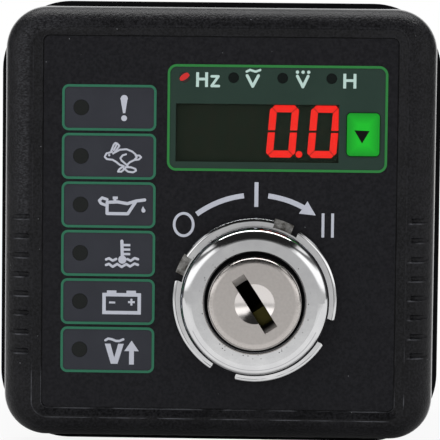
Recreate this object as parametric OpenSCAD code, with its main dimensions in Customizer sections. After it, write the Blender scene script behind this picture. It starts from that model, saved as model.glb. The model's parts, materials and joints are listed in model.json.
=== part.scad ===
// Panel-mount controller for a generating set: moulded bezel and housing, printed overlay,
// lamp column, four-digit display, select button and a three-position key switch.
// Every piece is modelled with the front face up (x right, y up the panel, z out of the panel)
// and z = 0 on the plane where the gasket meets the panel. upright() then stands it up.

/* [Bezel] */
// Width of the front bezel
bezel_w = 78; // [74:0.5:90]
// Height of the front bezel
bezel_h = 78; // [76:0.5:90]
// Thickness of the bezel from its back to its front face
bezel_depth = 9; // [8.5:0.1:12]
// Radius of the bezel's four corners, seen from the front
bezel_corner_r = 8; // [5:0.5:12]
// Radius of the rounded edge between the front face and the sides
edge_round_r = 4.8; // [3:0.1:5]
// How far the sides lean in from back to front
side_draft = 0.3; // [0:0.05:0.6]
// How far the front face falls away towards the rounded edge
front_crown = 0.15; // [0.05:0.05:0.4]
// Width of the sloping lip around the overlay
lip_w = 1.6; // [0.8:0.1:2]
// Depth of the overlay's surface below the front face
overlay_sink = 0.9; // [0.5:0.1:1.5]
// Thickness of the wall behind the overlay
front_wall = 1.6; // [1.3:0.1:2.2]
// Thickness of the wall left around the cored back of the frame
frame_wall = 2; // [1.4:0.1:2.4]
// Depth of the coring in the back of the frame
core_depth = 5; // [2:0.5:5.5]

/* [Finger grooves] */
// Number of finger grooves on each side
groove_count = 8; // [4:1:9]
// Distance from one finger groove to the next
groove_pitch = 3.43; // [2.5:0.01:3.8]
// Radius of a finger groove
groove_r = 0.5; // [0.3:0.05:0.8]
// Depth of a finger groove below the front face
groove_depth = 0.75; // [0.5:0.05:1]
// Distance of a finger groove's blind end from the bezel's side
groove_reach = 4.8; // [3:0.1:5]
// Radius of the path that a finger groove takes over the rounded edge
groove_sweep_r = 6.4; // [6.4:0.2:10]
// Height of the top finger groove above the middle of the bezel
groove_top = 0.9; // [-3:0.1:8]

/* [Gasket] */
// Thickness of the panel gasket
gasket_t = 1.2; // [0.8:0.1:2]
// How far the gasket stands out past the bezel's sides
gasket_overhang = 1; // [0.3:0.1:1.5]
// Radius of the gasket's corners
gasket_corner_r = 12.5; // [10:0.5:16]

/* [Housing] */
// Width and height of the housing, which passes the panel cut-out
housing_w = 66; // [65:0.5:68]
// Depth of the housing behind the panel
housing_depth = 44; // [42:0.5:60]
// Thickness of the housing's side walls
housing_wall = 2; // [1.5:0.1:2.4]
// Thickness of the housing's rear wall
rear_wall = 2.2; // [1.5:0.1:3]
// Radius of the housing's corners
housing_corner_r = 3; // [2.6:0.1:4]
// Radius of the corner pillars
pillar_r = 2.9; // [2.8:0.05:3]
// Height of the bezel's screw bosses
boss_h = 5.3; // [4:0.1:6]
// Length of a fixing clip's slot
clip_slot_l = 6; // [4:0.5:8]
// Width of a fixing clip's slot
clip_slot_w = 2.4; // [1.5:0.1:3]
// Distance from one clip slot to the next
clip_slot_pitch = 12; // [10:0.5:15]
// Distance of the clip slots behind the panel
clip_slot_back = 22; // [14:0.5:26]

/* [Overlay] */
// Width of the printed overlay
overlay_w = 62.8; // [62:0.1:64]
// Height of the printed overlay
overlay_h = 66.2; // [64:0.1:67]
// Thickness of the overlay film
overlay_t = 0.4; // [0.2:0.05:0.6]
// Radius of the overlay's corners
overlay_corner_r = 1; // [0.5:0.1:3]
// Gap around the overlay in its recess
overlay_gap = 0.25; // [0.1:0.05:0.4]
// Height of the embossed frames on the film
emboss_h = 0.12; // [0.05:0.01:0.2]
// Width of the embossed frames' lines
frame_line = 0.45; // [0.3:0.05:0.65]

/* [Warning lamps] */
// Number of warning lamps in the column
cell_count = 6; // [4:1:6]
// Width of a lamp's cell
cell_w = 16.8; // [14:0.1:17.5]
// Height of a lamp's cell
cell_h = 8.2; // [7:0.1:8.4]
// Distance from one cell to the next
cell_pitch = 8.65; // [8.45:0.01:9]
// Radius of a cell's corners
cell_corner_r = 1.2; // [0.7:0.1:2]
// Middle of the lamp column, across the panel
cell_x = -19.75; // [-20.5:0.05:-19]
// Middle of the top cell, up the panel
cell_top_y = 20.45; // [19.5:0.05:21]
// Lamp's distance from the middle of its cell
lamp_offset = -5; // [-5.5:0.1:-4]
// Radius of a lamp's window in the overlay
lamp_window_r = 1.4; // [1:0.05:1.45]
// Radius of a warning lamp
lamp_r = 1.5; // [1.5:0.05:1.6]

/* [Display] */
// Width of the frame around the display
panel_w = 39.1; // [38.5:0.1:39.5]
// Height of the frame around the display
panel_h = 18.9; // [18.5:0.1:19.3]
// Radius of the display frame's corners
panel_corner_r = 1.6; // [0.8:0.1:3]
// Middle of the display frame, across the panel
panel_x = 10.15; // [9.8:0.05:10.5]
// Middle of the display frame, up the panel
panel_y = 18.85; // [18.4:0.05:19.2]
// Width of the display's window
window_w = 29; // [28:0.1:29.4]
// Height of the display's window
window_h = 10.3; // [9.8:0.1:11]
// Middle of the window, across the panel
window_x = 6.6; // [6.4:0.05:6.8]
// Middle of the window, up the panel
window_y = 16.2; // [16:0.05:16.6]
// Thickness of the tinted filter
filter_t = 0.7; // [0.5:0.05:0.8]
// Overlap of the filter around its window
filter_lap = 0.6; // [0.4:0.05:0.7]
// Width of the display module
module_w = 30.2; // [30.1:0.1:30.3]
// Height of the display module, up the panel
module_h = 14; // [13:0.1:14.4]
// Depth of the display module
module_depth = 7; // [6:0.1:8]
// Height of a digit
digit_h = 9.35; // [8.4:0.05:9.4]
// Width of a digit
digit_w = 5.2; // [4.4:0.05:5.2]
// Distance from one digit to the next
digit_pitch = 7.36; // [7:0.01:7.36]
// Width of a digit's segment
segment_w = 1.26; // [0.8:0.02:1.3]
// Gap between two segments
segment_gap = 0.1; // [0.08:0.01:0.2]
// Depth of the segments' resin
segment_depth = 1; // [0.5:0.1:2]
// Slant of the digits, in degrees
digit_slant = 4.5; // [0:0.5:8]
// Middle of the row of mode lamps, across the panel
mode_x = 6.65; // [6.5:0.05:6.8]
// Middle of the row of mode lamps, up the panel
mode_y = 26; // [25.8:0.05:26.2]
// Distance from one mode lamp to the next
mode_pitch = 8.7; // [8.4:0.05:9]
// Radius of a mode lamp
mode_lamp_r = 1; // [0.8:0.05:1.1]
// Radius of a mode lamp's window in the overlay
mode_window_r = 0.95; // [0.6:0.05:1]

/* [Button] */
// Width of the select button
button_w = 5.8; // [5:0.1:6]
// Height of the select button
button_h = 7.6; // [6.4:0.1:8]
// Middle of the button, across the panel
button_x = 25.4; // [25.3:0.05:25.7]
// Middle of the button, up the panel
button_y = 16.15; // [15.8:0.05:16.6]
// How far the button stands out of the overlay
button_proud = 0.35; // [0.31:0.01:0.6]
// How far the button travels
button_travel = 0.3; // [0.2:0.05:0.4]
// Radius of the button's corners
button_corner_r = 0.7; // [0.3:0.1:1.2]
// Gap between the button and its opening
button_gap = 0.12; // [0.1:0.02:0.3]
// Width of the tactile switch under the button
tact_w = 6; // [5:0.1:6.2]
// Height of the tactile switch
tact_h = 3.5; // [3:0.1:4]
// Radius of the tactile switch's plunger
plunger_r = 1.75; // [1.2:0.05:2]

/* [Boards] */
// Thickness of a circuit board
board_t = 1.6; // [1:0.1:2]
// Gap between a board and the housing's walls
board_gap = 0.6; // [0.4:0.1:1]
// Radius of a board screw's boss
post_r = 2.2; // [1.9:0.1:2.4]
// Radius of a board screw's shank
board_screw_r = 0.8; // [0.7:0.05:0.95]
// Radius of a case screw's shank
case_screw_r = 1.1; // [0.9:0.05:1.2]
// Length of a case screw under its head
case_screw_l = 12; // [10:0.5:14]

/* [Terminals] */
// Number of wire terminals
terminal_count = 12; // [6:1:12]
// Distance from one terminal to the next
terminal_pitch = 3.81; // [3.5:0.01:3.9]
// Distance of the terminal block's middle from the housing's lower face
terminal_edge = 9.5; // [9:0.1:11]
// How far the terminal plug stands out of the rear wall
terminal_proud = 2; // [0.5:0.1:6]
// Height of the terminal plug, up the panel
terminal_h = 10.6; // [10.2:0.1:11]
// Height of the header that takes the plug
header_h = 8.6; // [7:0.1:10]

/* [Key switch] */
// Middle of the key switch, across the panel
lock_x = 6.5; // [6:0.05:7]
// Middle of the key switch, up the panel
lock_y = -13.4; // [-13.6:0.05:-12.6]
// Radius of the ring nut's flange
flange_r = 14.65; // [13.8:0.05:15.5]
// Thickness of the ring nut's flange
flange_t = 2.2; // [1.5:0.1:3]
// Radius of the ring nut's collar
collar_r = 13.1; // [12.8:0.05:13.15]
// Height of the ring nut above the overlay
nut_h = 7.2; // [6.6:0.1:9]
// Radius of the collar's rounded shoulder
shoulder_r = 2.1; // [1:0.1:2.4]
// Width of the ring nut's spanner notches
notch_w = 4.5; // [3:0.1:6]
// Radius of the spanner notches' floor
notch_floor_r = 13.3; // [13.2:0.05:13.8]
// Turn of the first spanner notch from the x axis, in degrees
notch_turn = 67; // [45:1:89]
// Radius of the rounded corners beside a notch
tooth_r = 0.7; // [0.3:0.1:1]
// Thickness of the tab washer under the ring nut
washer_t = 0.5; // [0.3:0.1:0.8]
// Radius of the tab washer over its tabs
tab_r = 14.9; // [14:0.05:15.2]
// Width of a washer's tab
tab_w = 3.6; // [2.5:0.1:4]
// Turn of the tab washer from the x axis, in degrees
washer_turn = 112; // [90:1:135]
// Radius of the ring nut's front opening
lip_r = 8.95; // [8.9:0.05:9.3]
// Radius of the barrel's threaded neck
neck_r = 11; // [10.4:0.05:11.2]
// Length of the barrel behind the overlay
barrel_l = 18; // [16:0.1:20]
// Radius of the barrel behind the panel
barrel_r = 11.5; // [11.3:0.05:11.8]
// Radius of the plug's head
plug_r = 8.15; // [7.9:0.05:8.2]
// Radius of the plug's shank
shank_r = 7.5; // [7.4:0.02:7.6]
// Running gap between the plug and the barrel
plug_gap = 0.06; // [0.03:0.01:0.1]
// How far the plug stands out of the ring nut
plug_proud = 2; // [0.2:0.1:3]
// Radius of the round dish in the plug's face
dish_r = 3.5; // [2.5:0.05:4.5]
// Depth of the dish in the plug's face
dish_depth = 1; // [0.5:0.05:1.4]
// Length of the keyway
keyway_l = 10.8; // [9.5:0.1:11.2]
// Width of the keyway
keyway_w = 2.5; // [1.8:0.05:2.6]
// Depth of the keyway
keyway_depth = 19; // [15:0.5:20]
// Turn of the keyway from upright in the off position, in degrees
keyway_turn = 33; // [20:1:50]
// Number of wafer tumblers
wafer_count = 4; // [3:1:4]
// Distance from one wafer to the next
wafer_pitch = 3; // [2:0.1:3.4]
// Depth of the contact base behind the barrel
base_l = 12; // [11.6:0.1:14]
// Length of a switch terminal behind the base
blade_l = 5; // [4:0.1:6]

/* [Hidden] */
$fn = 64;

// Small values that many pieces share
cut = 0.5;        // how far a cutter runs past the face that it opens
fit = 0.2;        // gap between two mouldings that slide together
touch_gap = 0.1;  // gap between faces that nearly touch
pin_gap = 0.1;    // gap around a pin or blade in a board
thread_gap = 0.05; // gap between a screw and the bore that it is driven into
lens_gap = 0.05;  // gap around a lamp's lens in the overlay
gasket_gap = 0.3; // gap between the gasket and the housing
plug_room = 0.5;  // gap around the terminal plug in the rear wall

// Levels, from the front face back to the rear wall
z_bezel_back = gasket_t;
z_frame = z_bezel_back + bezel_depth;
z_overlay = z_frame - overlay_sink;
z_seat = z_overlay - overlay_t;
z_wall_back = z_seat - front_wall;
z_module_face = z_wall_back - touch_gap;
z_board = z_module_face - module_depth;
z_board_back = z_board - board_t;
z_boss_end = z_wall_back - boss_h;
z_rear = -housing_depth;
z_rear_inside = z_rear + rear_wall;

// Key switch levels
z_nut_front = z_overlay + nut_h;
z_plug_face = z_nut_front + plug_proud;
z_barrel_back = z_overlay - barrel_l;
z_base_back = z_barrel_back - base_l;
z_power = z_base_back - blade_l + board_t - fit;
z_power_back = z_power - board_t;

// Places that several pieces share
housing_inside = housing_w - 2 * housing_wall;
pillar_at = housing_inside / 2 - pillar_r - fit;
board_w = housing_inside - 2 * board_gap;
corners = [[1, 1], [-1, 1], [-1, -1], [1, -1]];
board_edge = board_w / 2;
display_posts = [
    [-16, board_edge - 2.4], [board_edge - 3, 3.4], [-16, 2.4 - board_edge], [board_edge - 4, -19]
];
power_posts = [
    [5.4 - board_edge, board_edge - 11.4], [board_edge - 5.4, board_edge - 11.4],
    [2.8 - board_edge, -6], [board_edge - 2.8, -6]
];
terminal_y = terminal_edge - housing_w / 2;
module_x = window_x + 0.5;
module_y = window_y + 0.4;
digit_x = module_x + 0.35;
window_lamps = [for (i = [0:cell_count - 1]) [cell_x + lamp_offset, cell_top_y - i * cell_pitch]];
mode_lamps = [for (i = [0:3]) [mode_x + (i - 1.5) * mode_pitch, mode_y]];
terminal_x = [for (i = [0:terminal_count - 1]) (i - (terminal_count - 1) / 2) * terminal_pitch];
link_count = 8;
link_pitch = 2.54;
link_x = -19.5;
link_first_y = -8;
link_at = [for (i = [0:link_count - 1]) [link_x, link_first_y + i * link_pitch]];
relay_size = [18.6, 15.2, 15.2];
relay_edge = 10.9;
relay_at = [[-9.6, board_edge - relay_edge], [9.8, board_edge - relay_edge]];
blade_at = [for (i = [0:3]) 45 + 90 * i];
blade_ring = 5.4;
blade_size = [4.8, 0.8];
terminal_w = terminal_count * terminal_pitch + 0.8;
case_head_r = 2;
case_head_h = 1.5;
board_head_r = 1.9;
board_head_h = 1.2;
display_screw_l = 6;
power_screw_l = 8;
z_case_head = z_wall_back - 1 - case_screw_l;

// Stands the front-up model on its lower edge, with the front face towards -y
module upright() {
    rotate([90, 0, 0]) children();
}

module at(p, z = 0) {
    translate([p[0], p[1], z]) children();
}

module slab(z0, z1) {
    translate([0, 0, z0]) linear_extrude(z1 - z0) children();
}

module rounded_rect(w, h, r) {
    square([w - 2 * r, h], center = true);
    square([w, h - 2 * r], center = true);
    for (c = corners) translate([c[0] * (w / 2 - r), c[1] * (h / 2 - r)]) circle(r);
}

module rounded_ring(w, h, r, line) {
    difference() {
        rounded_rect(w, h, r);
        rounded_rect(w - 2 * line, h - 2 * line, r - line);
    }
}

// Carries a profile round a rectangle with rounded corners: profile x runs out from a corner's centre
module frame_sweep(w, h, r) {
    for (i = [0:3]) {
        across = (i % 2 == 0) ? w : h;
        along = (i % 2 == 0) ? h : w;
        rotate(90 * i) translate([across / 2 - r, along / 2 - r, 0]) {
            rotate_extrude(angle = 90) children();
            rotate([90, 0, 0]) linear_extrude(along - 2 * r) children();
        }
    }
}

module ring(r_out, r_in, z0, z1) {
    slab(z0, z1) difference() {
        circle(r_out);
        circle(r_in);
    }
}

module disc(r, z0, z1) {
    translate([0, 0, z0]) cylinder(r = r, h = z1 - z0);
}

// Section of the bezel's outer edge: leaning side, rounded edge and falling front face
module edge_profile() {
    side = bezel_corner_r - side_draft;
    z_round = bezel_depth - front_crown - edge_round_r;
    polygon([
        [0, 0], [bezel_corner_r, 0], [side, z_round], [side - edge_round_r, z_round],
        [side - edge_round_r, bezel_depth - front_crown], [0, bezel_depth]
    ]);
    translate([side - edge_round_r, z_round]) intersection() {
        circle(edge_round_r);
        square(edge_round_r);
    }
}

module bezel_blank() {
    translate([0, 0, z_bezel_back]) {
        frame_sweep(bezel_w, bezel_h, bezel_corner_r) edge_profile();
        translate([0, 0, bezel_depth / 2])
            cube([bezel_w - 2 * bezel_corner_r, bezel_h - 2 * bezel_corner_r, bezel_depth], center = true);
    }
}

// Recess for the overlay, with the sloping lip around it
module overlay_recess() {
    w = overlay_w + 2 * overlay_gap;
    h = overlay_h + 2 * overlay_gap;
    r = overlay_corner_r + overlay_gap;
    slab(z_seat, z_frame + cut) rounded_rect(w, h, r);
    translate([0, 0, z_overlay]) frame_sweep(w, h, r)
        polygon([
            [0, 0], [r, 0], [r + lip_w, overlay_sink],
            [r + lip_w, overlay_sink + cut], [0, overlay_sink + cut]
        ]);
}

groove_turn = 80;
module finger_grooves() {
    axis_z = z_frame - groove_depth + groove_r;
    for (side = [-1, 1], i = [0:groove_count - 1])
        translate([side * (bezel_w / 2 - groove_reach), groove_top - i * groove_pitch, axis_z]) {
            sphere(groove_r);
            translate([0, 0, -groove_sweep_r]) rotate([90, 0, 0]) rotate(side > 0 ? 90 - groove_turn : 90)
                rotate_extrude(angle = groove_turn) translate([groove_sweep_r, 0]) circle(groove_r);
        }
}

module button_opening() {
    translate([button_x, button_y])
        rounded_rect(button_w + 2 * button_gap, button_h + 2 * button_gap, button_corner_r + button_gap);
}

// Openings through the wall behind the overlay
module wall_openings() {
    slab(z_wall_back - cut, z_seat + cut) {
        translate([window_x, window_y]) square([window_w, window_h], center = true);
        button_opening();
        for (p = window_lamps) translate(p) circle(lamp_r + touch_gap);
        for (p = mode_lamps) translate(p) circle(mode_lamp_r + touch_gap);
        translate([lock_x, lock_y]) circle(neck_r + fit);
    }
    slab(z_seat - filter_t, z_seat + cut) translate([window_x, window_y])
        square([window_w + 2 * filter_lap + fit, window_h + 2 * filter_lap + fit], center = true);
}

module front_bezel() color([0.075, 0.075, 0.08]) {
    cavity = housing_w + 2 * fit;
    core_w = bezel_w - 2 * frame_wall;
    core_h = bezel_h - 2 * frame_wall;
    rib = housing_w + 2 * fit + 2 * frame_wall;
    difference() {
        bezel_blank();
        slab(z_bezel_back - cut, z_wall_back) rounded_rect(cavity, cavity, housing_corner_r + fit);
        slab(z_bezel_back - cut, z_bezel_back + core_depth) difference() {
            rounded_rect(core_w, core_h, bezel_corner_r - frame_wall);
            rounded_rect(rib, rib, housing_corner_r + fit + frame_wall);
        }
        overlay_recess();
        finger_grooves();
        wall_openings();
    }
    for (c = corners) at(c * pillar_at) ring(pillar_r, case_screw_r, z_boss_end, z_wall_back);
    for (p = display_posts) at(p) ring(post_r, board_screw_r, z_board, z_wall_back);
}

module panel_gasket() color([0.02, 0.02, 0.02]) {
    w = bezel_w + 2 * gasket_overhang;
    h = bezel_h + 2 * gasket_overhang;
    inside = housing_w + 2 * gasket_gap;
    slab(0, gasket_t) difference() {
        rounded_rect(w, h, gasket_corner_r);
        rounded_rect(inside, inside, housing_corner_r);
    }
}

module pillar_bores() {
    for (c = corners) at(c * pillar_at) {
        disc(case_screw_r + fit, z_case_head - cut, z_boss_end + cut);
        disc(case_head_r + touch_gap, z_rear - cut, z_case_head);
    }
}

module clip_slots() {
    for (side = [-1, 1], i = [-1:1])
        translate([side * (housing_w - housing_wall) / 2, i * clip_slot_pitch, -clip_slot_back])
            cube([housing_wall + 2 * cut, clip_slot_l, clip_slot_w], center = true);
}

module rear_housing() color([0.06, 0.06, 0.065]) {
    r_in = housing_corner_r - housing_wall;
    difference() {
        union() {
            difference() {
                slab(z_rear, z_wall_back) rounded_rect(housing_w, housing_w, housing_corner_r);
                slab(z_rear_inside, z_wall_back + cut) rounded_rect(housing_inside, housing_inside, r_in);
            }
            for (c = corners) at(c * pillar_at) disc(pillar_r, z_rear_inside - cut, z_boss_end);
            for (p = power_posts) at(p) disc(post_r, z_rear_inside - cut, z_power_back);
        }
        pillar_bores();
        for (p = power_posts) at(p) disc(board_screw_r, z_rear_inside + 2, z_power_back + cut);
        slab(z_rear - cut, z_rear_inside + cut) translate([0, terminal_y])
            square([terminal_w + 2 * plug_room, terminal_h + 2 * plug_room], center = true);
        clip_slots();
    }
}

module pan_screw(head_r, head_h, shank_r, shank_l) {
    difference() {
        union() {
            disc(head_r - head_h / 3, -head_h, 0);
            disc(head_r, -head_h * 2 / 3, 0);
        }
        for (a = [0, 90]) rotate(a) translate([0, 0, -head_h])
            cube([head_r * 1.2, head_r * 0.3, head_h], center = true);
    }
    disc(shank_r, -touch_gap, shank_l);
}

module board_screw(shank_l) {
    pan_screw(board_head_r, board_head_h, board_screw_r - thread_gap, shank_l);
}

module case_screws() color([0.6, 0.6, 0.62])
    for (c = corners) at(c * pillar_at, z_case_head)
        pan_screw(case_head_r, case_head_h, case_screw_r - thread_gap, case_screw_l);

// Film with its windows, and the raised lines that frame the lamps and the display
module graphic_overlay() color([0.13, 0.13, 0.14]) {
    difference() {
        union() {
            slab(z_seat, z_overlay) rounded_rect(overlay_w, overlay_h, overlay_corner_r);
            slab(z_seat + overlay_t / 2, z_overlay + emboss_h) {
                for (i = [0:cell_count - 1]) translate([cell_x, cell_top_y - i * cell_pitch])
                    rounded_ring(cell_w, cell_h, cell_corner_r, frame_line);
                translate([panel_x, panel_y]) rounded_ring(panel_w, panel_h, panel_corner_r, frame_line);
            }
        }
        slab(z_seat - cut, z_overlay + emboss_h + cut) {
            translate([window_x, window_y]) square([window_w, window_h], center = true);
            button_opening();
            for (p = window_lamps) translate(p) circle(lamp_window_r);
            for (p = mode_lamps) translate(p) circle(mode_window_r);
            translate([lock_x, lock_y]) circle(neck_r + fit);
        }
    }
}

module display_filter() color([0.1, 0.12, 0.1, 0.5])
    slab(z_seat - filter_t, z_seat) translate([window_x, window_y])
        square([window_w + 2 * filter_lap, window_h + 2 * filter_lap], center = true);

// Button: cap, catches above and below behind the wall, and a stem on the switch's plunger
z_catch = z_wall_back - touch_gap;
catch_t = 0.8;
catch_w = 0.7;
stem_l = 0.6;
stem_r = 1.4;
z_plunger = z_catch - catch_t - stem_l;

module select_button() color([0.1, 0.62, 0.16])
    at([button_x, button_y]) {
        slab(z_catch - catch_t, z_overlay + button_proud) rounded_rect(button_w, button_h, button_corner_r);
        slab(z_catch - catch_t, z_catch) square([button_w, button_h + 2 * catch_w], center = true);
        disc(stem_r, z_plunger, z_catch - catch_t);
    }

module tact_switch_body() color([0.12, 0.12, 0.12])
    at([button_x, button_y]) difference() {
        union() {
            slab(z_board, z_board + tact_h) square(tact_w, center = true);
            for (c = corners) at(c * tact_w * 0.36) disc(0.5, z_board + tact_h - cut, z_board + tact_h + 0.2);
        }
        disc(plunger_r + touch_gap, z_board + tact_h / 2, z_board + tact_h + cut);
    }

module tact_plunger() color([0.2, 0.2, 0.2])
    at([button_x, button_y]) disc(plunger_r, z_board + tact_h / 2 + button_travel + cut, z_plunger);

// Outline that both boards share, clear of the corner pillars
module board_blank() {
    difference() {
        square(board_w, center = true);
        for (c = corners) {
            translate(c * pillar_at) circle(pillar_r + board_gap);
            translate(c * board_w / 2) square(board_w - 2 * pillar_at, center = true);
        }
        for (p = link_at) translate(p) circle(link_pin_r + pin_gap);
    }
}

link_pin_r = 0.32;
display_pin_r = 0.25;
display_pin_at = [
    for (i = [0:5], row = [-1, 1]) [module_x + (i - 2.5) * link_pitch, module_y + row * 2 * link_pitch]
];

module display_board() color([0.05, 0.3, 0.12])
    slab(z_board_back, z_board) difference() {
        board_blank();
        translate([lock_x, lock_y]) circle(barrel_r + plug_room);
        for (p = display_posts) translate(p) circle(board_screw_r + fit);
        for (p = display_pin_at) translate(p) circle(display_pin_r + pin_gap);
    }

module display_board_screws() color([0.6, 0.6, 0.62])
    for (p = display_posts) at(p, z_board_back) board_screw(display_screw_l);

// Segments of one digit, before its slant
seg_top = let (w = digit_w / 2, h = digit_h / 2, t = segment_w, g = segment_gap / 2, c = segment_w * 0.65)
    [[c - w, h], [w - c, h], [w - c / 2 - g, h - c / 2], [w - t - g, h - t],
     [t + g - w, h - t], [c / 2 + g - w, h - c / 2]];
seg_right = let (w = digit_w / 2, h = digit_h / 2, t = segment_w, g = segment_gap / 2, c = segment_w * 0.65)
    [[w - c / 2 + g, h - c / 2 - g], [w, h - c], [w, 4 * g], [w - t, 4 * g], [w - t, h - t - 2 * g]];
seg_middle = let (w = digit_w / 2 - segment_w - segment_gap, t = segment_w / 2)
    [[-w, 0], [t - w, t], [w - t, t], [w, 0], [w - t, -t], [t - w, -t]];

function slanted(points, sx, sy) =
    [for (p = points) [sx * p[0] + sy * p[1] * tan(digit_slant), sy * p[1]]];

module ring_segments() {
    for (sy = [-1, 1]) polygon(slanted(seg_top, 1, sy));
    for (sx = [-1, 1], sy = [-1, 1]) polygon(slanted(seg_right, sx, sy));
}

module middle_segment() {
    polygon(slanted(seg_middle, 1, 1));
}

point_r = 0.6;
module point_segment() {
    y = point_r - digit_h / 2;
    translate([digit_w / 2 + y * tan(digit_slant) + point_r + segment_gap, y]) circle(point_r);
}

module digit(i) {
    translate([digit_x + (i - 1.5) * digit_pitch, module_y]) children();
}

module lit_segments() {
    for (i = [2, 3]) digit(i) ring_segments();
    digit(2) point_segment();
}

module unlit_segments() {
    for (i = [0, 1]) digit(i) ring_segments();
    for (i = [0:3]) digit(i) middle_segment();
    for (i = [0, 1, 3]) digit(i) point_segment();
}

module display_module() color([0.03, 0.03, 0.03])
    difference() {
        slab(z_board, z_module_face) translate([module_x, module_y])
            square([module_w, module_h], center = true);
        slab(z_module_face - segment_depth, z_module_face + cut) {
            lit_segments();
            unlit_segments();
        }
    }

module display_segments_lit() color([1, 0.1, 0.08])
    slab(z_module_face - segment_depth, z_module_face) lit_segments();

module display_segments_unlit() color([0.1, 0.08, 0.08])
    slab(z_module_face - segment_depth, z_module_face) unlit_segments();

module display_pins() color([0.75, 0.75, 0.75])
    for (p = display_pin_at) at(p) disc(display_pin_r, z_board_back - 1.2, z_board);

// Flat-topped lamps stand on spacers, with their lenses flush in the overlay's windows
lamp_l = 5.2;
lamp_rim = 0.35;
lamp_rim_t = 0.8;
z_lamp_top = z_seat - touch_gap / 2;
z_lamp_base = z_lamp_top - lamp_l;

module lamp(r, window_r) {
    disc(r + lamp_rim, z_lamp_base, z_lamp_base + lamp_rim_t);
    disc(r, z_lamp_base, z_lamp_top);
    disc(window_r - lens_gap, z_lamp_top - cut, z_overlay);
}

module warning_leds() color([0.16, 0.17, 0.17])
    for (p = window_lamps) at(p) lamp(lamp_r, lamp_window_r);

module mode_leds() color([0.16, 0.17, 0.17])
    for (i = [1:3]) at(mode_lamps[i]) lamp(mode_lamp_r, mode_window_r);

module mode_led_lit() color([1, 0.12, 0.1])
    at(mode_lamps[0]) lamp(mode_lamp_r, mode_window_r);

module led_spacers() color([0.85, 0.85, 0.82]) {
    for (p = window_lamps) at(p) disc(lamp_r + lamp_rim, z_board, z_lamp_base);
    for (p = mode_lamps) at(p) disc(mode_lamp_r + lamp_rim, z_board, z_lamp_base);
}

chip_w = 7;
chip_t = 1.4;
chip_at = [-9, 3];
lead_count = 8;
lead_pitch = 0.8;

module microcontroller() color([0.05, 0.05, 0.05])
    at(chip_at) {
        slab(z_board_back - chip_t, z_board_back - touch_gap) square(chip_w, center = true);
        for (side = [0:3], i = [0:lead_count - 1]) rotate(90 * side)
            translate([chip_w / 2 - fit, (i - (lead_count - 1) / 2) * lead_pitch - fit, z_board_back - 0.35])
                cube([1.2, 2 * fit, 0.35]);
    }

link_strip_w = 2.5;
link_socket_h = 8.5;
module board_link_pins() color([0.8, 0.65, 0.3])
    for (p = link_at) at(p) disc(link_pin_r, z_power_back - 1, z_board + 0.8);

module link_strip(z0, z1) {
    slab(z0, z1) difference() {
        translate((link_at[0] + link_at[link_count - 1]) / 2)
            square([link_strip_w, link_count * link_pitch], center = true);
        for (p = link_at) translate(p) circle(link_pin_r + pin_gap);
    }
}

module board_link_strips() color([0.06, 0.06, 0.06]) {
    link_strip(z_board_back - link_strip_w, z_board_back);
    link_strip(z_power, z_power + link_socket_h);
}

terminal_pin_w = 0.9;
module power_board() color([0.05, 0.3, 0.12])
    slab(z_power_back, z_power) difference() {
        board_blank();
        for (p = power_posts) translate(p) circle(board_screw_r + fit);
        for (x = terminal_x) translate([x, terminal_y]) square(terminal_pin_w + 2 * pin_gap, center = true);
        for (a = blade_at) translate([lock_x, lock_y]) rotate(a) translate([blade_ring, 0])
            square([blade_size[1] + 2 * pin_gap, blade_size[0] + 2 * pin_gap], center = true);
    }

module power_board_screws() color([0.6, 0.6, 0.62])
    for (p = power_posts) at(p, z_power) rotate([180, 0, 0]) board_screw(power_screw_l);

module relay() {
    slab(z_power, z_power + relay_size[2]) rounded_rect(relay_size[0], relay_size[1], 0.8);
}

module fuel_relay() color([0.05, 0.13, 0.3])
    at(relay_at[0]) relay();

module crank_relay() color([0.05, 0.13, 0.3])
    at(relay_at[1]) relay();

can_bead = 0.4;
can_foot = 1.2;
supply_can_r = 5;
supply_can_h = 12.5;
filter_can_r = 3.15;
filter_can_h = 11;
supply_can_edge = 0.8;
filter_can_edge = 1.65;
can_row_edge = 24.8;

module can_capacitor(r, h) {
    translate([0, 0, z_power]) rotate_extrude() polygon([
        [0, 0], [r, 0], [r, can_foot], [r - can_bead, can_foot + can_bead], [r, can_foot + 2 * can_bead],
        [r, h - can_bead], [r - can_bead, h], [0, h]
    ]);
}

module supply_capacitor() color([0.08, 0.09, 0.12])
    at([board_edge - supply_can_edge - supply_can_r, board_edge - can_row_edge])
        can_capacitor(supply_can_r, supply_can_h);

module filter_capacitor() color([0.08, 0.09, 0.12])
    at([filter_can_edge + filter_can_r - board_edge, board_edge - can_row_edge])
        can_capacitor(filter_can_r, filter_can_h);

// Rear terminals: header on the board, plug through the rear wall
header_d = 7.6;
header_wall = 0.8;
header_floor = 2.4;
z_header_end = z_power_back - header_h;
z_plug_rear = z_rear - terminal_proud;
wire_at = -2.4;
screw_at = 2.6;
screw_well = 4;
terminal_screw_r = 1.35;
terminal_screw_h = 1.6;
wire_entry = [2.7, 3];
wire_depth = 7;

module terminal_header() color([0.1, 0.42, 0.2])
    at([0, terminal_y]) difference() {
        slab(z_header_end, z_power_back) square([terminal_w, header_d], center = true);
        slab(z_header_end - cut, z_power_back - header_floor)
            square([terminal_w - 2 * header_wall, header_d - 2 * header_wall], center = true);
        slab(z_power_back - header_floor - cut, z_power_back + cut)
            for (x = terminal_x) translate([x, 0]) square(terminal_pin_w + 2 * pin_gap, center = true);
    }

module terminal_pins() color([0.8, 0.8, 0.8])
    slab(z_header_end + 1.2, z_power + 1)
        for (x = terminal_x) translate([x, terminal_y]) square(terminal_pin_w, center = true);

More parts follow.
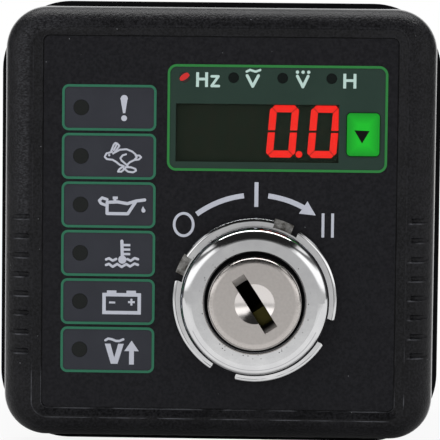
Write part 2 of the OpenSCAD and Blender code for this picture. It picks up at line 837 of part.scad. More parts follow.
module terminal_plug() color([0.1, 0.42, 0.2])
    at([0, terminal_y]) difference() {
        union() {
            slab(z_plug_rear, z_header_end) square([terminal_w, terminal_h], center = true);
            slab(z_header_end - cut, z_power_back - header_floor - fit)
                square([terminal_w - 2 * header_wall - fit, header_d - 2 * header_wall - fit], center = true);
        }
        for (x = terminal_x) {
            slab(z_header_end + 0.8, z_power_back) translate([x, 0])
                square(terminal_pin_w + 2 * fit, center = true);
            slab(z_plug_rear - cut, z_plug_rear + wire_depth)
                translate([x, wire_at]) square(wire_entry, center = true);
            at([x, screw_at]) disc(terminal_screw_r + touch_gap, z_plug_rear - cut, z_plug_rear + screw_well);
        }
    }

module terminal_screws() color([0.7, 0.7, 0.72])
    for (x = terminal_x) at([x, terminal_y + screw_at], z_plug_rear + screw_well) difference() {
        disc(terminal_screw_r, -terminal_screw_h, 0);
        translate([0, 0, -terminal_screw_h]) cube([2 * terminal_screw_r + cut, 0.5, 1.2], center = true);
    }

// Key switch
nut_lip_t = 1.6;
lip_edge = 0.2;
flange_round = 0.6;
tooth_break = 0.06;
tab_spread = 42.5;
barrel_shoulder_r = 13;
barrel_shoulder_t = 3;
seal_bore_r = 8.85;
tail_r = 5;
tail_flat = 3.6;
ledge_t = 2.4;
clip_groove_r = 4.3;
clip_t = 0.7;
clip_r = 6.2;
z_neck = z_nut_front - nut_lip_t - touch_gap;
z_seal_floor = z_overlay + 3.2;
z_ledge = z_barrel_back + ledge_t;
z_shank_back = z_ledge + touch_gap;
z_clip = z_barrel_back - touch_gap;

// Contact levels, from the base's floor forwards
base_floor = 2.5;
rivet_h = 0.9;
bridge_t = 0.8;
bridge_arm = [15, 3.6];
rotor_r = 8.6;
rotor_t = 4;
z_floor = z_base_back + base_floor;
z_bridge = z_floor + rivet_h + touch_gap;
z_rotor = z_bridge + bridge_t;
z_rotor_front = z_rotor + rotor_t;
z_tail = z_rotor_front - 3;

module nut_profile() {
    difference() {
        union() {
            square([flange_r, flange_t - flange_round]);
            square([flange_r - flange_round, flange_t]);
            translate([flange_r - flange_round, flange_t - flange_round]) circle(flange_round);
            square([collar_r, nut_h - shoulder_r]);
            square([collar_r - shoulder_r, nut_h]);
            translate([collar_r - shoulder_r, nut_h - shoulder_r]) circle(shoulder_r);
        }
        translate([0, -cut]) square([neck_r + thread_gap, nut_h - nut_lip_t + cut]);
        translate([0, -cut]) square([lip_r, nut_h + 2 * cut]);
        translate([lip_r, nut_h]) rotate(45) square(lip_edge, center = true);
        translate([0, -cut]) square([flange_r + cut, washer_t + cut]);
    }
}

// Spanner notch, with the corners of the teeth beside it rounded
module notch() {
    side = notch_w / 2 + tooth_r;
    reach = sqrt(pow(flange_r - tooth_r, 2) - side * side) + tooth_break;
    difference() {
        translate([neck_r, -notch_w / 2]) square([flange_r - neck_r + cut, notch_w]);
        circle(notch_floor_r);
    }
    for (s = [-1, 1]) difference() {
        translate([reach, min(s * notch_w / 2, s * side)]) square([flange_r - reach + cut, tooth_r]);
        translate([reach, s * side]) circle(tooth_r);
    }
}

module lock_ring_nut() color([0.8, 0.8, 0.8])
    at([lock_x, lock_y], z_overlay) difference() {
        rotate_extrude() nut_profile();
        slab(-cut, flange_t + cut) for (i = [0:3]) rotate(notch_turn + 90 * i) notch();
    }

// Washer that locks the nut, with two tabs that show in the nut's upper notches
module lock_washer() color([0.5, 0.5, 0.5])
    at([lock_x, lock_y]) slab(z_overlay, z_overlay + washer_t) difference() {
        union() {
            circle(notch_floor_r - fit);
            intersection() {
                circle(tab_r);
                for (side = [-1, 1]) rotate(washer_turn + side * tab_spread)
                    translate([0, -tab_w / 2]) square([tab_r, tab_w]);
            }
        }
        circle(neck_r + fit);
    }

module lock_barrel() color([0.6, 0.6, 0.6])
    at([lock_x, lock_y]) difference() {
        union() {
            disc(barrel_r, z_barrel_back, z_wall_back);
            disc(barrel_shoulder_r, z_wall_back - barrel_shoulder_t, z_wall_back);
            disc(neck_r, z_wall_back - cut, z_neck);
        }
        disc(tail_r + touch_gap, z_barrel_back - cut, z_ledge + cut);
        disc(shank_r + plug_gap, z_ledge, z_seal_floor + cut);
        disc(seal_bore_r, z_seal_floor, z_neck + cut);
    }

module double_d(r, flat) {
    intersection() {
        circle(r);
        square([2 * flat, 2 * r], center = true);
    }
}

// Wafers and the chambers that hold them, behind the plug's face
wafer_t = 0.8;
wafer_size = [7, 12];
wafer_first = 3.2;
wafer_window = [3, 6.7];
wafer_window_y = 2;
wafer_z = [for (i = [0:wafer_count - 1]) z_plug_face - wafer_first - i * wafer_pitch];

plug_round = 0.6;
module plug_profile() {
    square([tail_r, z_shank_back - z_tail]);
    translate([0, z_shank_back - z_tail]) square([shank_r, z_seal_floor - z_shank_back]);
    translate([0, z_seal_floor + touch_gap - cut - z_tail])
        square([shank_r, cut]);
    translate([0, z_seal_floor + touch_gap - z_tail]) {
        square([plug_r - plug_round, z_plug_face - z_seal_floor - touch_gap]);
        square([plug_r, z_plug_face - z_seal_floor - touch_gap - plug_round]);
    }
    translate([plug_r - plug_round, z_plug_face - plug_round - z_tail]) circle(plug_round);
}

// Keyway: a mouth with sloping ends that lead the key into the slot
keyway_ramp = 1.2;
module keyway() {
    slot_l = keyway_l - 2 * keyway_ramp;
    mouth = keyway_l / 2 + cut;
    rotate(keyway_turn) {
        slab(z_plug_face - keyway_depth, z_plug_face + cut) square([keyway_w, slot_l], center = true);
        translate([-keyway_w / 2, 0, z_plug_face]) rotate([90, 0, 90]) linear_extrude(keyway_w)
            polygon([[-mouth, cut], [-slot_l / 2, -keyway_ramp], [slot_l / 2, -keyway_ramp], [mouth, cut]]);
        for (z = wafer_z) slab(z - wafer_t / 2 - touch_gap, z + wafer_t / 2 + touch_gap)
            square([wafer_size[0] + 2 * touch_gap, wafer_size[1] + 2 * touch_gap], center = true);
    }
}

module lock_plug() color([0.66, 0.64, 0.62])
    at([lock_x, lock_y]) difference() {
        translate([0, 0, z_tail]) rotate_extrude() plug_profile();
        keyway();
        dish_ball = (dish_r * dish_r + dish_depth * dish_depth) / (2 * dish_depth);
        translate([0, 0, z_plug_face + dish_ball - dish_depth]) sphere(dish_ball);
        for (side = [-1, 1]) translate([side * (tail_flat + tail_r), 0, z_tail])
            cube([2 * tail_r, 3 * tail_r, 2 * (z_clip - clip_t - 0.4 - z_tail)], center = true);
        ring(tail_r + cut, clip_groove_r, z_clip - clip_t - touch_gap, z_clip + touch_gap);
    }

module plug_seal() color([0.02, 0.02, 0.02])
    at([lock_x, lock_y])
        ring(seal_bore_r - touch_gap, plug_r + touch_gap, z_seal_floor + touch_gap, z_neck - touch_gap);

module wafer_tumblers() color([0.78, 0.62, 0.3])
    at([lock_x, lock_y]) rotate(keyway_turn)
        for (z = wafer_z) slab(z - wafer_t / 2, z + wafer_t / 2) difference() {
            square(wafer_size, center = true);
            translate([0, wafer_window_y]) square(wafer_window, center = true);
        }

module retaining_clip() color([0.5, 0.5, 0.52])
    at([lock_x, lock_y]) slab(z_clip - clip_t, z_clip) difference() {
        circle(clip_r);
        circle(clip_groove_r + touch_gap);
        translate([clip_r, 0]) square([clip_r, clip_r + cut], center = true);
    }

module contact_rotor() color([0.1, 0.1, 0.1])
    at([lock_x, lock_y]) difference() {
        disc(rotor_r, z_rotor, z_rotor_front);
        slab(z_tail - fit, z_rotor_front + cut) double_d(tail_r + touch_gap, tail_flat + touch_gap);
    }

module contact_bridge() color([0.8, 0.6, 0.25])
    at([lock_x, lock_y]) slab(z_bridge, z_rotor)
        for (a = [45, 135]) rotate(a) square(bridge_arm, center = true);

// Flat spiral spring of half turns, wider by one step each time
module return_spring() color([0.55, 0.55, 0.57]) {
    first_r = 7;
    step = 0.45;
    strip = [0.3, 2];
    at([lock_x, lock_y], z_barrel_back - strip[1])
        for (i = [0:4]) translate([(i % 2) * step, 0, 0]) rotate(180 * (i % 2)) rotate_extrude(angle = 180)
            translate([first_r + i * step - strip[0] / 2, 0]) square(strip);
}

base_bore_r = 10.2;
rivet_r = 0.95;
module contact_base() color([0.12, 0.09, 0.07])
    at([lock_x, lock_y]) difference() {
        disc(barrel_r, z_base_back, z_barrel_back);
        disc(base_bore_r, z_floor, z_barrel_back + cut);
        for (a = blade_at) rotate(a) translate([blade_ring, 0, 0])
            disc(rivet_r + thread_gap, z_base_back - cut, z_floor + cut);
    }

module switch_terminals() color([0.8, 0.6, 0.25])
    at([lock_x, lock_y]) for (a = blade_at) rotate(a) translate([blade_ring, 0, 0]) {
        disc(rivet_r * 1.5, z_floor, z_floor + rivet_h);
        disc(rivet_r, z_base_back - touch_gap, z_floor + touch_gap);
        slab(z_base_back - blade_l, z_base_back) square([blade_size[1], blade_size[0]], center = true);
    }

upright() front_bezel();
upright() panel_gasket();
upright() rear_housing();
upright() case_screws();
upright() graphic_overlay();
upright() display_filter();
upright() select_button();
upright() tact_switch_body();
upright() tact_plunger();
upright() display_board();
upright() display_board_screws();
upright() display_module();
upright() display_segments_lit();
upright() display_segments_unlit();
upright() display_pins();
upright() warning_leds();
upright() mode_leds();
upright() mode_led_lit();
upright() led_spacers();
upright() microcontroller();
upright() board_link_pins();
upright() board_link_strips();
upright() power_board();
upright() power_board_screws();
upright() fuel_relay();
upright() crank_relay();
upright() supply_capacitor();
upright() filter_capacitor();
upright() terminal_header();
upright() terminal_pins();
upright() terminal_plug();
upright() terminal_screws();
upright() lock_ring_nut();
upright() lock_washer();
upright() lock_barrel();
upright() lock_plug();
upright() plug_seal();
upright() wafer_tumblers();
upright() retaining_clip();
upright() contact_rotor();
upright() contact_bridge();
upright() return_spring();
upright() contact_base();
upright() switch_terminals();
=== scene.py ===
# %% [markdown]
# # Panel controller for a generating set
# A square black controller that sits in a cut-out of a control panel. Its front carries a printed film
# with six warning lamps, a red four-digit display, a green select button and a chromed key switch.
# The solids come in as a fixed frame. This lesson gives them their finishes, adds the printed marks,
# and lights them as in a small studio.

# %% Load the frame
import json
import math

import bmesh
import bpy
from mathutils import Matrix, Vector

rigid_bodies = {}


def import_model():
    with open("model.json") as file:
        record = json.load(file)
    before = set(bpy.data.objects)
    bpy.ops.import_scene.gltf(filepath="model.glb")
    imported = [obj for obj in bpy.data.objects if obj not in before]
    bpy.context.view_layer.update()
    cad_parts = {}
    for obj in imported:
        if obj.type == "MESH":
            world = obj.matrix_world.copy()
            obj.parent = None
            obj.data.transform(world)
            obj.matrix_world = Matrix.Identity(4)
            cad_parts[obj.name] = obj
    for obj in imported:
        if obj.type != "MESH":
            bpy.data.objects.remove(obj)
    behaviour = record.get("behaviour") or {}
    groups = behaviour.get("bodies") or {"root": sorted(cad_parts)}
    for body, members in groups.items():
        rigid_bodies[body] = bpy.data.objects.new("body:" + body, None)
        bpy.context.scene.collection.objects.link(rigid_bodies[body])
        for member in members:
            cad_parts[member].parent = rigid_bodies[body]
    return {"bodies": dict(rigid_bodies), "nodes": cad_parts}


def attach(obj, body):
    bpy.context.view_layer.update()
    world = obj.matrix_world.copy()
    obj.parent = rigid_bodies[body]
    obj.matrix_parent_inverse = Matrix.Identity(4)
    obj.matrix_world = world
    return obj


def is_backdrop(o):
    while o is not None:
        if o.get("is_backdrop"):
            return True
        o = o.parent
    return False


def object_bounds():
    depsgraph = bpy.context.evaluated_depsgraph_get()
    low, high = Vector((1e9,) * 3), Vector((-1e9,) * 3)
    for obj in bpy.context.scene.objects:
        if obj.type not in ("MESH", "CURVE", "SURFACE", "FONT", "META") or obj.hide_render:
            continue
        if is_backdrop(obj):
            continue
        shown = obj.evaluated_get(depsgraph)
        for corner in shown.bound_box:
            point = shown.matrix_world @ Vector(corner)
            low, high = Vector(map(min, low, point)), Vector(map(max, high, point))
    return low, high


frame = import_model()
nodes = frame["nodes"]
cad_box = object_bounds()
scene = bpy.context.scene
MM = 0.001
print("nodes:", len(nodes), "bodies:", sorted(frame["bodies"]))

# %% [markdown]
# ## Camera
# The picture was taken almost straight on, from a finger's breadth above the middle and with a long lens.
# A camera could be aimed with a Track To constraint. Here its axes are worked out from three angles,
# because the small roll is part of the view.

# %% Camera at the picture's angle
FILM_FACE = 9.3  # mm out of the panel
AIM_ACROSS, AIM_UP = 0.167, 0.69  # mm from the middle of the film
AZIMUTH, ELEVATION, ROLL = (math.radians(degrees) for degrees in (1.193, 2.521, 0.654))
DISTANCE = 0.2955  # metres
LENS, SENSOR = 135.7, 36  # mm


def panel_point(x, y, z):
    """A place given in mm across, up and out of the panel, in the frame's own axes."""
    return Vector((x, -z, y)) * MM


back = Vector((
    math.sin(AZIMUTH) * math.cos(ELEVATION),
    -math.cos(AZIMUTH) * math.cos(ELEVATION),
    math.sin(ELEVATION),
))
right = Vector((math.cos(AZIMUTH), math.sin(AZIMUTH), 0))
up = back.cross(right)
rolled_right = math.cos(ROLL) * right + math.sin(ROLL) * up
rolled_up = math.cos(ROLL) * up - math.sin(ROLL) * right
axes = Matrix((rolled_right, rolled_up, back)).transposed().to_4x4()
aim = panel_point(AIM_ACROSS, AIM_UP, FILM_FACE)

camera = bpy.data.objects.new("camera", bpy.data.cameras.new("camera"))
camera.data.sensor_width = SENSOR
camera.data.lens = LENS
camera.data.clip_start = 0.01
camera.matrix_world = Matrix.Translation(aim + DISTANCE * back) @ axes
scene.collection.objects.link(camera)
scene.camera = camera
scene.view_settings.view_transform = "Standard"
print("camera at", [round(v, 4) for v in camera.matrix_world.translation])

# %% [markdown]
# ## Shader arithmetic
# A material is a small sum of masks and patterns. In the editor each plus or minus is a Math node, which
# soon fills the screen. This class stands for one output socket, so that a sum can be written as a sum,
# and one method adds any other node.

# %% A socket that can be added and multiplied
class Wire:
    """One output socket of a node tree. Sums with it add Math nodes."""

    def __init__(self, tree, socket=None):
        self.tree = tree
        self.socket = socket

    def node(self, kind, settings=None, inputs=None, out=0):
        """Adds a node: its settings first, then the values or links of its sockets."""
        made = self.tree.nodes.new(kind)
        for name, value in (settings or {}).items():
            if name == "stops":
                for place, _ in value[1:-1]:
                    made.color_ramp.elements.new(place)
                for stop, (place, level) in zip(made.color_ramp.elements, value):
                    stop.position = place
                    stop.color = (level, level, level, 1)
            else:
                setattr(made, name, value)
        for key, value in (inputs or {}).items():
            if isinstance(value, Wire):
                self.tree.links.new(value.socket, made.inputs[key])
            else:
                made.inputs[key].default_value = value
        return Wire(self.tree, made.outputs[out] if len(made.outputs) else None)

    def maths(self, operation, *values):
        return self.node("ShaderNodeMath", {"operation": operation}, dict(enumerate(values)))

    def __add__(self, other):
        return self.maths("ADD", self, other)

    def __radd__(self, other):
        return self.maths("ADD", other, self)

    def __sub__(self, other):
        return self.maths("SUBTRACT", self, other)

    def __rsub__(self, other):
        return self.maths("SUBTRACT", other, self)

    def __mul__(self, other):
        return self.maths("MULTIPLY", self, other)

    def __rmul__(self, other):
        return self.maths("MULTIPLY", other, self)

    def __truediv__(self, other):
        return self.maths("DIVIDE", self, other)

    def __pow__(self, other):
        return self.maths("POWER", self, other)

    def __lt__(self, other):
        return self.maths("LESS_THAN", self, other)

    def __gt__(self, other):
        return self.maths("GREATER_THAN", self, other)

    def __abs__(self):
        return self.maths("ABSOLUTE", self)

    def __round__(self):
        return self.maths("ROUND", self)

    def at_least(self, other):
        return self.maths("MAXIMUM", self, other)

    def at_most(self, other):
        return self.maths("MINIMUM", self, other)


print("Wire methods:", sum(callable(value) for value in vars(Wire).values()))

# %% [markdown]
# ## Soft steps and mixes
# Light falls off softly at the edge of a panel, and so does wear on a part. A smooth step of a Map Range
# node gives such an edge, and a Mix node lays one colour over another through it. A Color Ramp could do
# both, but it hides its numbers in the node.

# %% Helpers for light and finishes
WHITE = (1, 1, 1, 1)


def grey(level):
    return (level, level, level, 1)


def axis(vector, which):
    """The X, Y or Z part of a vector."""
    return vector.node("ShaderNodeSeparateXYZ", inputs={0: vector}, out=which)


def ease(value, low, high):
    """Rises softly from 0 at low to 1 at high."""
    return value.node("ShaderNodeMapRange", {"interpolation_type": "SMOOTHSTEP"},
                      {0: value, 1: low, 2: high})


def blended(mask, below, above):
    """Colour above where the mask is 1, and colour below where it is 0."""
    return mask.node("ShaderNodeMix", {"data_type": "RGBA"}, {0: mask, 6: below, 7: above}, out=2)


def ray_is(wire, kind):
    """1 for rays of that kind, such as Camera or Glossy, and 0 for others."""
    return wire.node("ShaderNodeLightPath", out=f"Is {kind} Ray")


print("white is", WHITE, "and a dark card is", grey(0.08))

# %% [markdown]
# ## Studio
# A product shot has a white sweep behind the object, a soft box over it and a darker room in front, where
# the photographer stands between two pale panels. A world shader can hold all of the room: the camera sees
# plain white, and other rays see the sweep behind, dark flags beside the object and the room in front, so
# that the chrome has something to mirror.

# %% World with a white sweep and a darker room in front
# A stop is a height, from 0 straight down to 1 straight up, and the brightness there.
GROUND = [(0.0, 0.93), (0.434, 0.93), (0.452, 0.6)]
ROOM = GROUND + [(0.47, 0.54), (0.5, 0.48), (0.55, 0.22), (0.6, 0.02), (0.97, 0.02), (1.0, 0.1)]
PANELS = GROUND + [
    (0.52, 0.62), (0.56, 1.5), (0.68, 1.5), (0.74, 0.2), (0.79, 0.2), (0.82, 1.2), (1.0, 0.6)]
# An edge is a soft step in a direction's part toward the right or toward the back.
PANEL_LEAN, PANEL_EDGE = 0.75, (0.0, 0.12)
FLAG_EDGE, FLAG_LEVEL = (-0.1, 0.15), 0.08
SWEEP_EDGE = (0.6, 0.85)
SOFT_LIGHT = (0.6, 0.6, 0.61, 1)

world = bpy.data.worlds.new("studio")
world.use_nodes = True
world.node_tree.nodes.clear()
sky = Wire(world.node_tree)
direction = sky.node("ShaderNodeTexCoord", out="Generated")
toward_right, toward_back, height = (axis(direction, which) for which in "XYZ")
level = height * 0.5 + 0.5
room, panels = (sky.node("ShaderNodeValToRGB", {"stops": stops}, {0: level}) for stops in (ROOM, PANELS))
in_front = blended(ease(abs(toward_right) - height * PANEL_LEAN, *PANEL_EDGE), room, panels)
flagged = blended(ease(toward_back, *FLAG_EDGE), in_front, grey(FLAG_LEVEL))
mirrored = blended(ease(toward_back, *SWEEP_EDGE), flagged, WHITE)
lit = blended(ray_is(sky, "Diffuse"), mirrored, SOFT_LIGHT)
shown = blended(ray_is(sky, "Camera"), lit, WHITE)
glow = sky.node("ShaderNodeBackground", inputs={"Color": shown, "Strength": 1})
sky.node("ShaderNodeOutputWorld", inputs={"Surface": glow})
scene.world = world
print("world nodes:", len(world.node_tree.nodes))

# %% [markdown]
# ## Soft boxes
# The box overhead draws the pale line along the top of the bezel's rounded edge, and it stands a little
# behind the panel so that only a thin line of it shows in the chrome. The box in front lights the film.
# It is hidden from mirrors, because the pale panels of the world already stand there.

# %% Two soft boxes
MIDDLE = Vector((0, 0, 0))


def soft_box(name, place, width, depth, watts):
    """A rectangular lamp that faces the middle of the object."""
    lamp = bpy.data.lights.new(name, "AREA")
    lamp.shape = "RECTANGLE"
    lamp.size = width
    lamp.size_y = depth
    lamp.energy = watts
    box = bpy.data.objects.new(name, lamp)
    box.location = place
    box.rotation_euler = (MIDDLE - Vector(place)).to_track_quat("-Z", "Y").to_euler()
    scene.collection.objects.link(box)
    print(name, watts, "W")
    return box


soft_box("overhead_box", (0, 0.14, 0.6), width=0.8, depth=0.34, watts=4.5)
front_box = soft_box("front_box", (-0.16, -0.6, 0.35), width=0.9, depth=0.9, watts=2.5)
front_box.visible_glossy = False

# %% [markdown]
# ## Floor
# The controller stands on white paper. The paper could be lit until it is white, but the light would spill
# on the object. So it glows for the camera and for mirrors, with a tenth left matt near the object to
# take its shadow. Far off it glows fully and joins the white world without a line. Mirrors don't see the
# glow within about a centimetre of the object, which stands in its own shade.

# %% Floor under the controller
FLOOR_HALF_SIDE, FLOOR_MIDDLE, FLOOR_GAP = 0.8, 0.66, 0.0002  # metres
floor_mesh = bmesh.new()
bmesh.ops.create_grid(floor_mesh, x_segments=1, y_segments=1, size=FLOOR_HALF_SIDE,
                      matrix=Matrix.Translation((0, FLOOR_MIDDLE, cad_box[0][2] - FLOOR_GAP)))
floor = bpy.data.objects.new("floor", bpy.data.meshes.new("floor"))
floor_mesh.to_mesh(floor.data)
floor_mesh.free()
scene.collection.objects.link(floor)
floor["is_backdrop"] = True
print("floor at", round(cad_box[0][2], 4))

# %% Paper that glows for the camera and for mirrors
PAPER_LEVEL = 0.55
SHADE_BESIDE, SHADE_IN_FRONT, SHADE_BEHIND = (0.044, 0.052), (0.012, 0.02), (0.05, 0.06)  # metres
FAR_OFF = (0.1, 0.5)  # metres
NEAR_GLOW = 0.9

paper = bpy.data.materials.new("pale_floor")
paper.use_nodes = True
paper.node_tree.nodes.clear()
top = Wire(paper.node_tree)
matt = top.node("ShaderNodeBsdfDiffuse", inputs={"Color": grey(PAPER_LEVEL)})
white = top.node("ShaderNodeEmission", inputs={"Color": WHITE, "Strength": 1})
spot = top.node("ShaderNodeTexCoord", out="Object")
beside, behind = abs(axis(spot, "X")), axis(spot, "Y")
outside = ease(beside, *SHADE_BESIDE).at_least(ease(behind * -1, *SHADE_IN_FRONT))
outside = outside.at_least(ease(behind, *SHADE_BEHIND))
far = ease((beside ** 2 + behind ** 2) ** 0.5, *FAR_OFF)
by_mirrors = (ray_is(top, "Glossy") + ray_is(top, "Transmission")) * outside
watched = (ray_is(top, "Camera") + by_mirrors).at_most(1) * (NEAR_GLOW + (1 - NEAR_GLOW) * far)
surface = top.node("ShaderNodeMixShader", inputs={0: watched, 1: matt, 2: white})
top.node("ShaderNodeOutputMaterial", inputs={"Surface": surface})
floor.data.materials.append(paper)
print(paper.name, "nodes:", len(paper.node_tree.nodes))

# %% [markdown]
# ## Patterns in millimetres
# Grain on a moulding is at most a tenth of a millimetre deep. It could come from a picture laid on with a
# UV map. A pattern in the object's own space needs no unwrapping and has no seams. All the patterns here
# read Object coordinates turned into millimetres, so that a number in the text is the size on the part.

# %% Start a finish and feed its shader
def ink(code):
    """A colour written as six hex digits, in the linear values that a shader takes."""
    parts = [int(code[i:i + 2], 16) / 255 for i in (0, 2, 4)]
    linear = [p / 12.92 if p <= 0.04045 else ((p + 0.055) / 1.055) ** 2.4 for p in parts]
    return (*linear, 1)


def shade(code, share):
    """That share of a colour's light."""
    return (*(part * share for part in ink(code)[:3]), 1)


def sockets(values):
    """Keywords such as Base_Color turned into the names of sockets."""
    return {name.replace("_", " "): value for name, value in values.items()}


def start_finish(name, **constants):
    """A new material, its Principled shader and the place on the object in mm."""
    made = bpy.data.materials.new(name)
    made.use_nodes = True
    made.node_tree.nodes.clear()
    wire = Wire(made.node_tree)
    shader = wire.node("ShaderNodeBsdfPrincipled", inputs=sockets(constants))
    wire.node("ShaderNodeOutputMaterial", inputs={"Surface": shader})
    metres = wire.node("ShaderNodeTexCoord", out="Object")
    place = wire.node("ShaderNodeVectorMath", {"operation": "SCALE"}, {0: metres, "Scale": 1 / MM})
    return made, shader, place


def feed(shader, **wires):
    """Links what changes over the surface to the shader's sockets."""
    for name, wire in sockets(wires).items():
        wire.tree.links.new(wire.socket, shader.socket.node.inputs[name])


print("mid grey in linear values:", [round(part, 3) for part in ink("808080")])

# %% Noise, bumps, outlines and specks
def cloud(place, size, detail=3.0):
    """Noise from 0 to 1 with lumps of about that many mm."""
    return place.node("ShaderNodeTexNoise", inputs={"Vector": place, "Scale": 1 / size, "Detail": detail})


def bumped(height, depth):
    """A bump that many mm deep."""
    return height.node("ShaderNodeBump", inputs={"Strength": 1, "Distance": depth * MM, "Height": height})


def from_rounded_box(across, along, width, height, corner):
    """Distance in mm from a rounded rectangle's outline, less than 0 inside."""
    dx = abs(across) - (width / 2 - corner)
    dz = abs(along) - (height / 2 - corner)
    outside = (dx.at_least(0) ** 2 + dz.at_least(0) ** 2) ** 0.5
    return outside + dx.at_least(dz).at_most(0) - corner


def above_nearest(height, top, pitch, last):
    """Height over the nearest member of a row that runs down from top, where the first is number 0."""
    number = round((top - height) / pitch).at_least(0).at_most(last)
    return height - top + number * pitch


def specks(place, spacing, radius, share):
    """A 0 to 1 mask of small dots, one in some of the cells of that spacing in mm."""
    dots = place.node("ShaderNodeTexVoronoi", inputs={"Vector": place, "Scale": 1 / spacing}).socket.node
    near = Wire(place.tree, dots.outputs["Distance"])
    lot = axis(Wire(place.tree, dots.outputs["Color"]), "X")
    return (near < radius / spacing) * (lot < share)


print("lumps of 0.3 mm need a noise scale of", round(1 / 0.3, 2))

# %% [markdown]
# ## Plain finishes
# Most pieces are moulded, plated or dipped in one go. Such a surface is never quite even: its colour drifts
# in cloudy patches, its gloss changes a little, and it has a fine grain. One function makes all of these
# from a colour, a roughness and the size and depth of the grain.

# %% A plain finish, and how a piece gets it
def plain_finish(name, colour, roughness, grain=0.15, depth=0.01, drift=0.18, metallic=0.0, **constants):
    """A moulded, plated or dipped surface: cloudy colour, uneven gloss and a fine grain."""
    made, shader, place = start_finish(name, Metallic=metallic, **constants)
    fine = cloud(place, grain, 2)
    feed(shader, Base_Color=blended(cloud(place, size=6), shade(colour, 1 - drift), ink(colour)),
         Roughness=roughness * 0.85 + fine * (roughness * 0.3),
         Normal=bumped(fine, depth))
    return made


def dress(finish, *names):
    for name in names:
        nodes[name].data.materials.clear()
        nodes[name].data.materials.append(finish)
    print(finish.name, "on", ", ".join(names))


gasket_rubber = plain_finish(
    "gasket_rubber", "08080a", roughness=0.75, grain=0.3, depth=0.03, Specular_IOR_Level=0.1)
dress(gasket_rubber, "panel_gasket", "plug_seal")

# %% [markdown]
# ## Black mouldings
# The bezel and the housing are black ABS with a spark-eroded grain, which breaks up the soft box's
# reflection along the rounded edge. In use they gather pale dust, so a few specks lie over the black. The
# specks are a Voronoi pattern in which only some cells hold a dot.

# %% Grained black plastic with dust
# The second grey is the pale of wear on the edges and of the painted highlights and sheen on the bezel.
DUST, WEAR_AND_HIGHLIGHT_GREY = "8d8f92", "515256"


def black_moulding(name, colour, roughness, grain, depth, dust, wear_and_highlights=None, polished=None):
    """Grained black plastic with dust. Masks of the place say where it is pale with wear and painted
    highlights, or polished.
    """
    made, shader, place = start_finish(name, Specular_IOR_Level=0.12, Coat_Roughness=0.05)
    fine = cloud(place, grain, 4)
    mottle = ease(fine * 0.75 + cloud(place, size=9) * 0.25, 0.35, 0.65)
    base = blended(mottle, shade(colour, 0.45), shade(colour, 1.5))
    base = blended(specks(place, spacing=1.7, radius=0.07, share=dust), base, ink(DUST))
    gloss = roughness - 0.06 + fine * 0.12
    if wear_and_highlights:
        # Pale wear, painted highlights and painted sheen are laid over the black.
        base = blended(wear_and_highlights(place), base, ink(WEAR_AND_HIGHLIGHT_GREY))
    if polished:
        smooth = polished(place)
        fine = fine * (1 - smooth)
        feed(shader, Coat_Weight=smooth)
    feed(shader, Base_Color=base, Roughness=gloss, Normal=bumped(fine, depth))
    return made


housing_black = black_moulding("housing_black", "131416", roughness=0.5, grain=0.3, depth=0.03, dust=0.04)
dress(housing_black, "rear_housing")

# %% [markdown]
# ## Wear and painted highlights on the bezel
# Hands and cloths rub a bezel pale along both edges of the sloping lip, and these pale lines are also
# painted highlights, most of all at the bottom, where the edges face the light from above. A pale streak
# below each finger groove is a painted highlight on its lower side, and slanting streaks at the upper left
# of the rounded edge are a painted sheen. Its outermost half millimetre is smooth, because the mould is
# polished there. Wear and highlights could be painted on by hand. Here each mask is a distance from an
# outline of the solid, so that it lies exactly on its edge.

# %% Lip edges with wear and painted highlights, painted sheen, and the polished strip
LIP_INSIDE, LIP_OUTSIDE = (63.3, 66.7, 1.25), (66.5, 69.9, 2.85)  # width, height and corner in mm
BEZEL_OUTLINE = (78, 78, 8)
GROOVE_TOP, GROOVE_PITCH, GROOVE_RADIUS, LAST_GROOVE = 0.9, 3.43, 0.5, 7
GROOVE_START, GROOVE_END = (33.4, 34.2), (35.6, 37)  # mm to either side of the middle
LIP_FADE, GROOVE_FADE = (0.04, 0.12), (0.03, 0.2)  # mm from the rubbed line
LIP_LOW = (20, 32)  # mm below the middle
# Painted sheen on the upper left of the rounded edge: its slant, stretch, strength, band and place.
PAINTED_SHEEN_SLANT, PAINTED_SHEEN_STRETCH, PAINTED_SHEEN_STRENGTH = math.radians(35), (0.45, 1, 1), 0.36
PAINTED_SHEEN_OUTER, PAINTED_SHEEN_INNER = (1.8, 3.4), (4.6, 5.4)  # mm inside the outline
PAINTED_SHEEN_LEFT, PAINTED_SHEEN_UPWARD = (18, 34), (-18, 14)  # mm left of the middle and above it
POLISH_EDGE = (-0.8, -0.45)  # mm from the outline, less than 0 inside


def painted_sheen_on_round(place):
    """Painted sheen: short slanting pale streaks at the upper left of the rounded edge, where it mirrors a
    dim panel at the left.
    """
    x, z = axis(place, "X"), axis(place, "Z")
    # Painted sheen, laid as pale colour in place of a reflection.
    slanted = place.node("ShaderNodeMapping", inputs={
        "Vector": place, "Rotation": (0, PAINTED_SHEEN_SLANT, 0), "Scale": PAINTED_SHEEN_STRETCH})
    inside = from_rounded_box(x, z, *BEZEL_OUTLINE) * -1
    band = ease(inside, *PAINTED_SHEEN_OUTER) * (1 - ease(inside, *PAINTED_SHEEN_INNER))
    band = band * ease(x * -1, *PAINTED_SHEEN_LEFT) * ease(z, *PAINTED_SHEEN_UPWARD)
    return band * ease(cloud(slanted, 0.22, 2), 0.35, 0.75) * PAINTED_SHEEN_STRENGTH


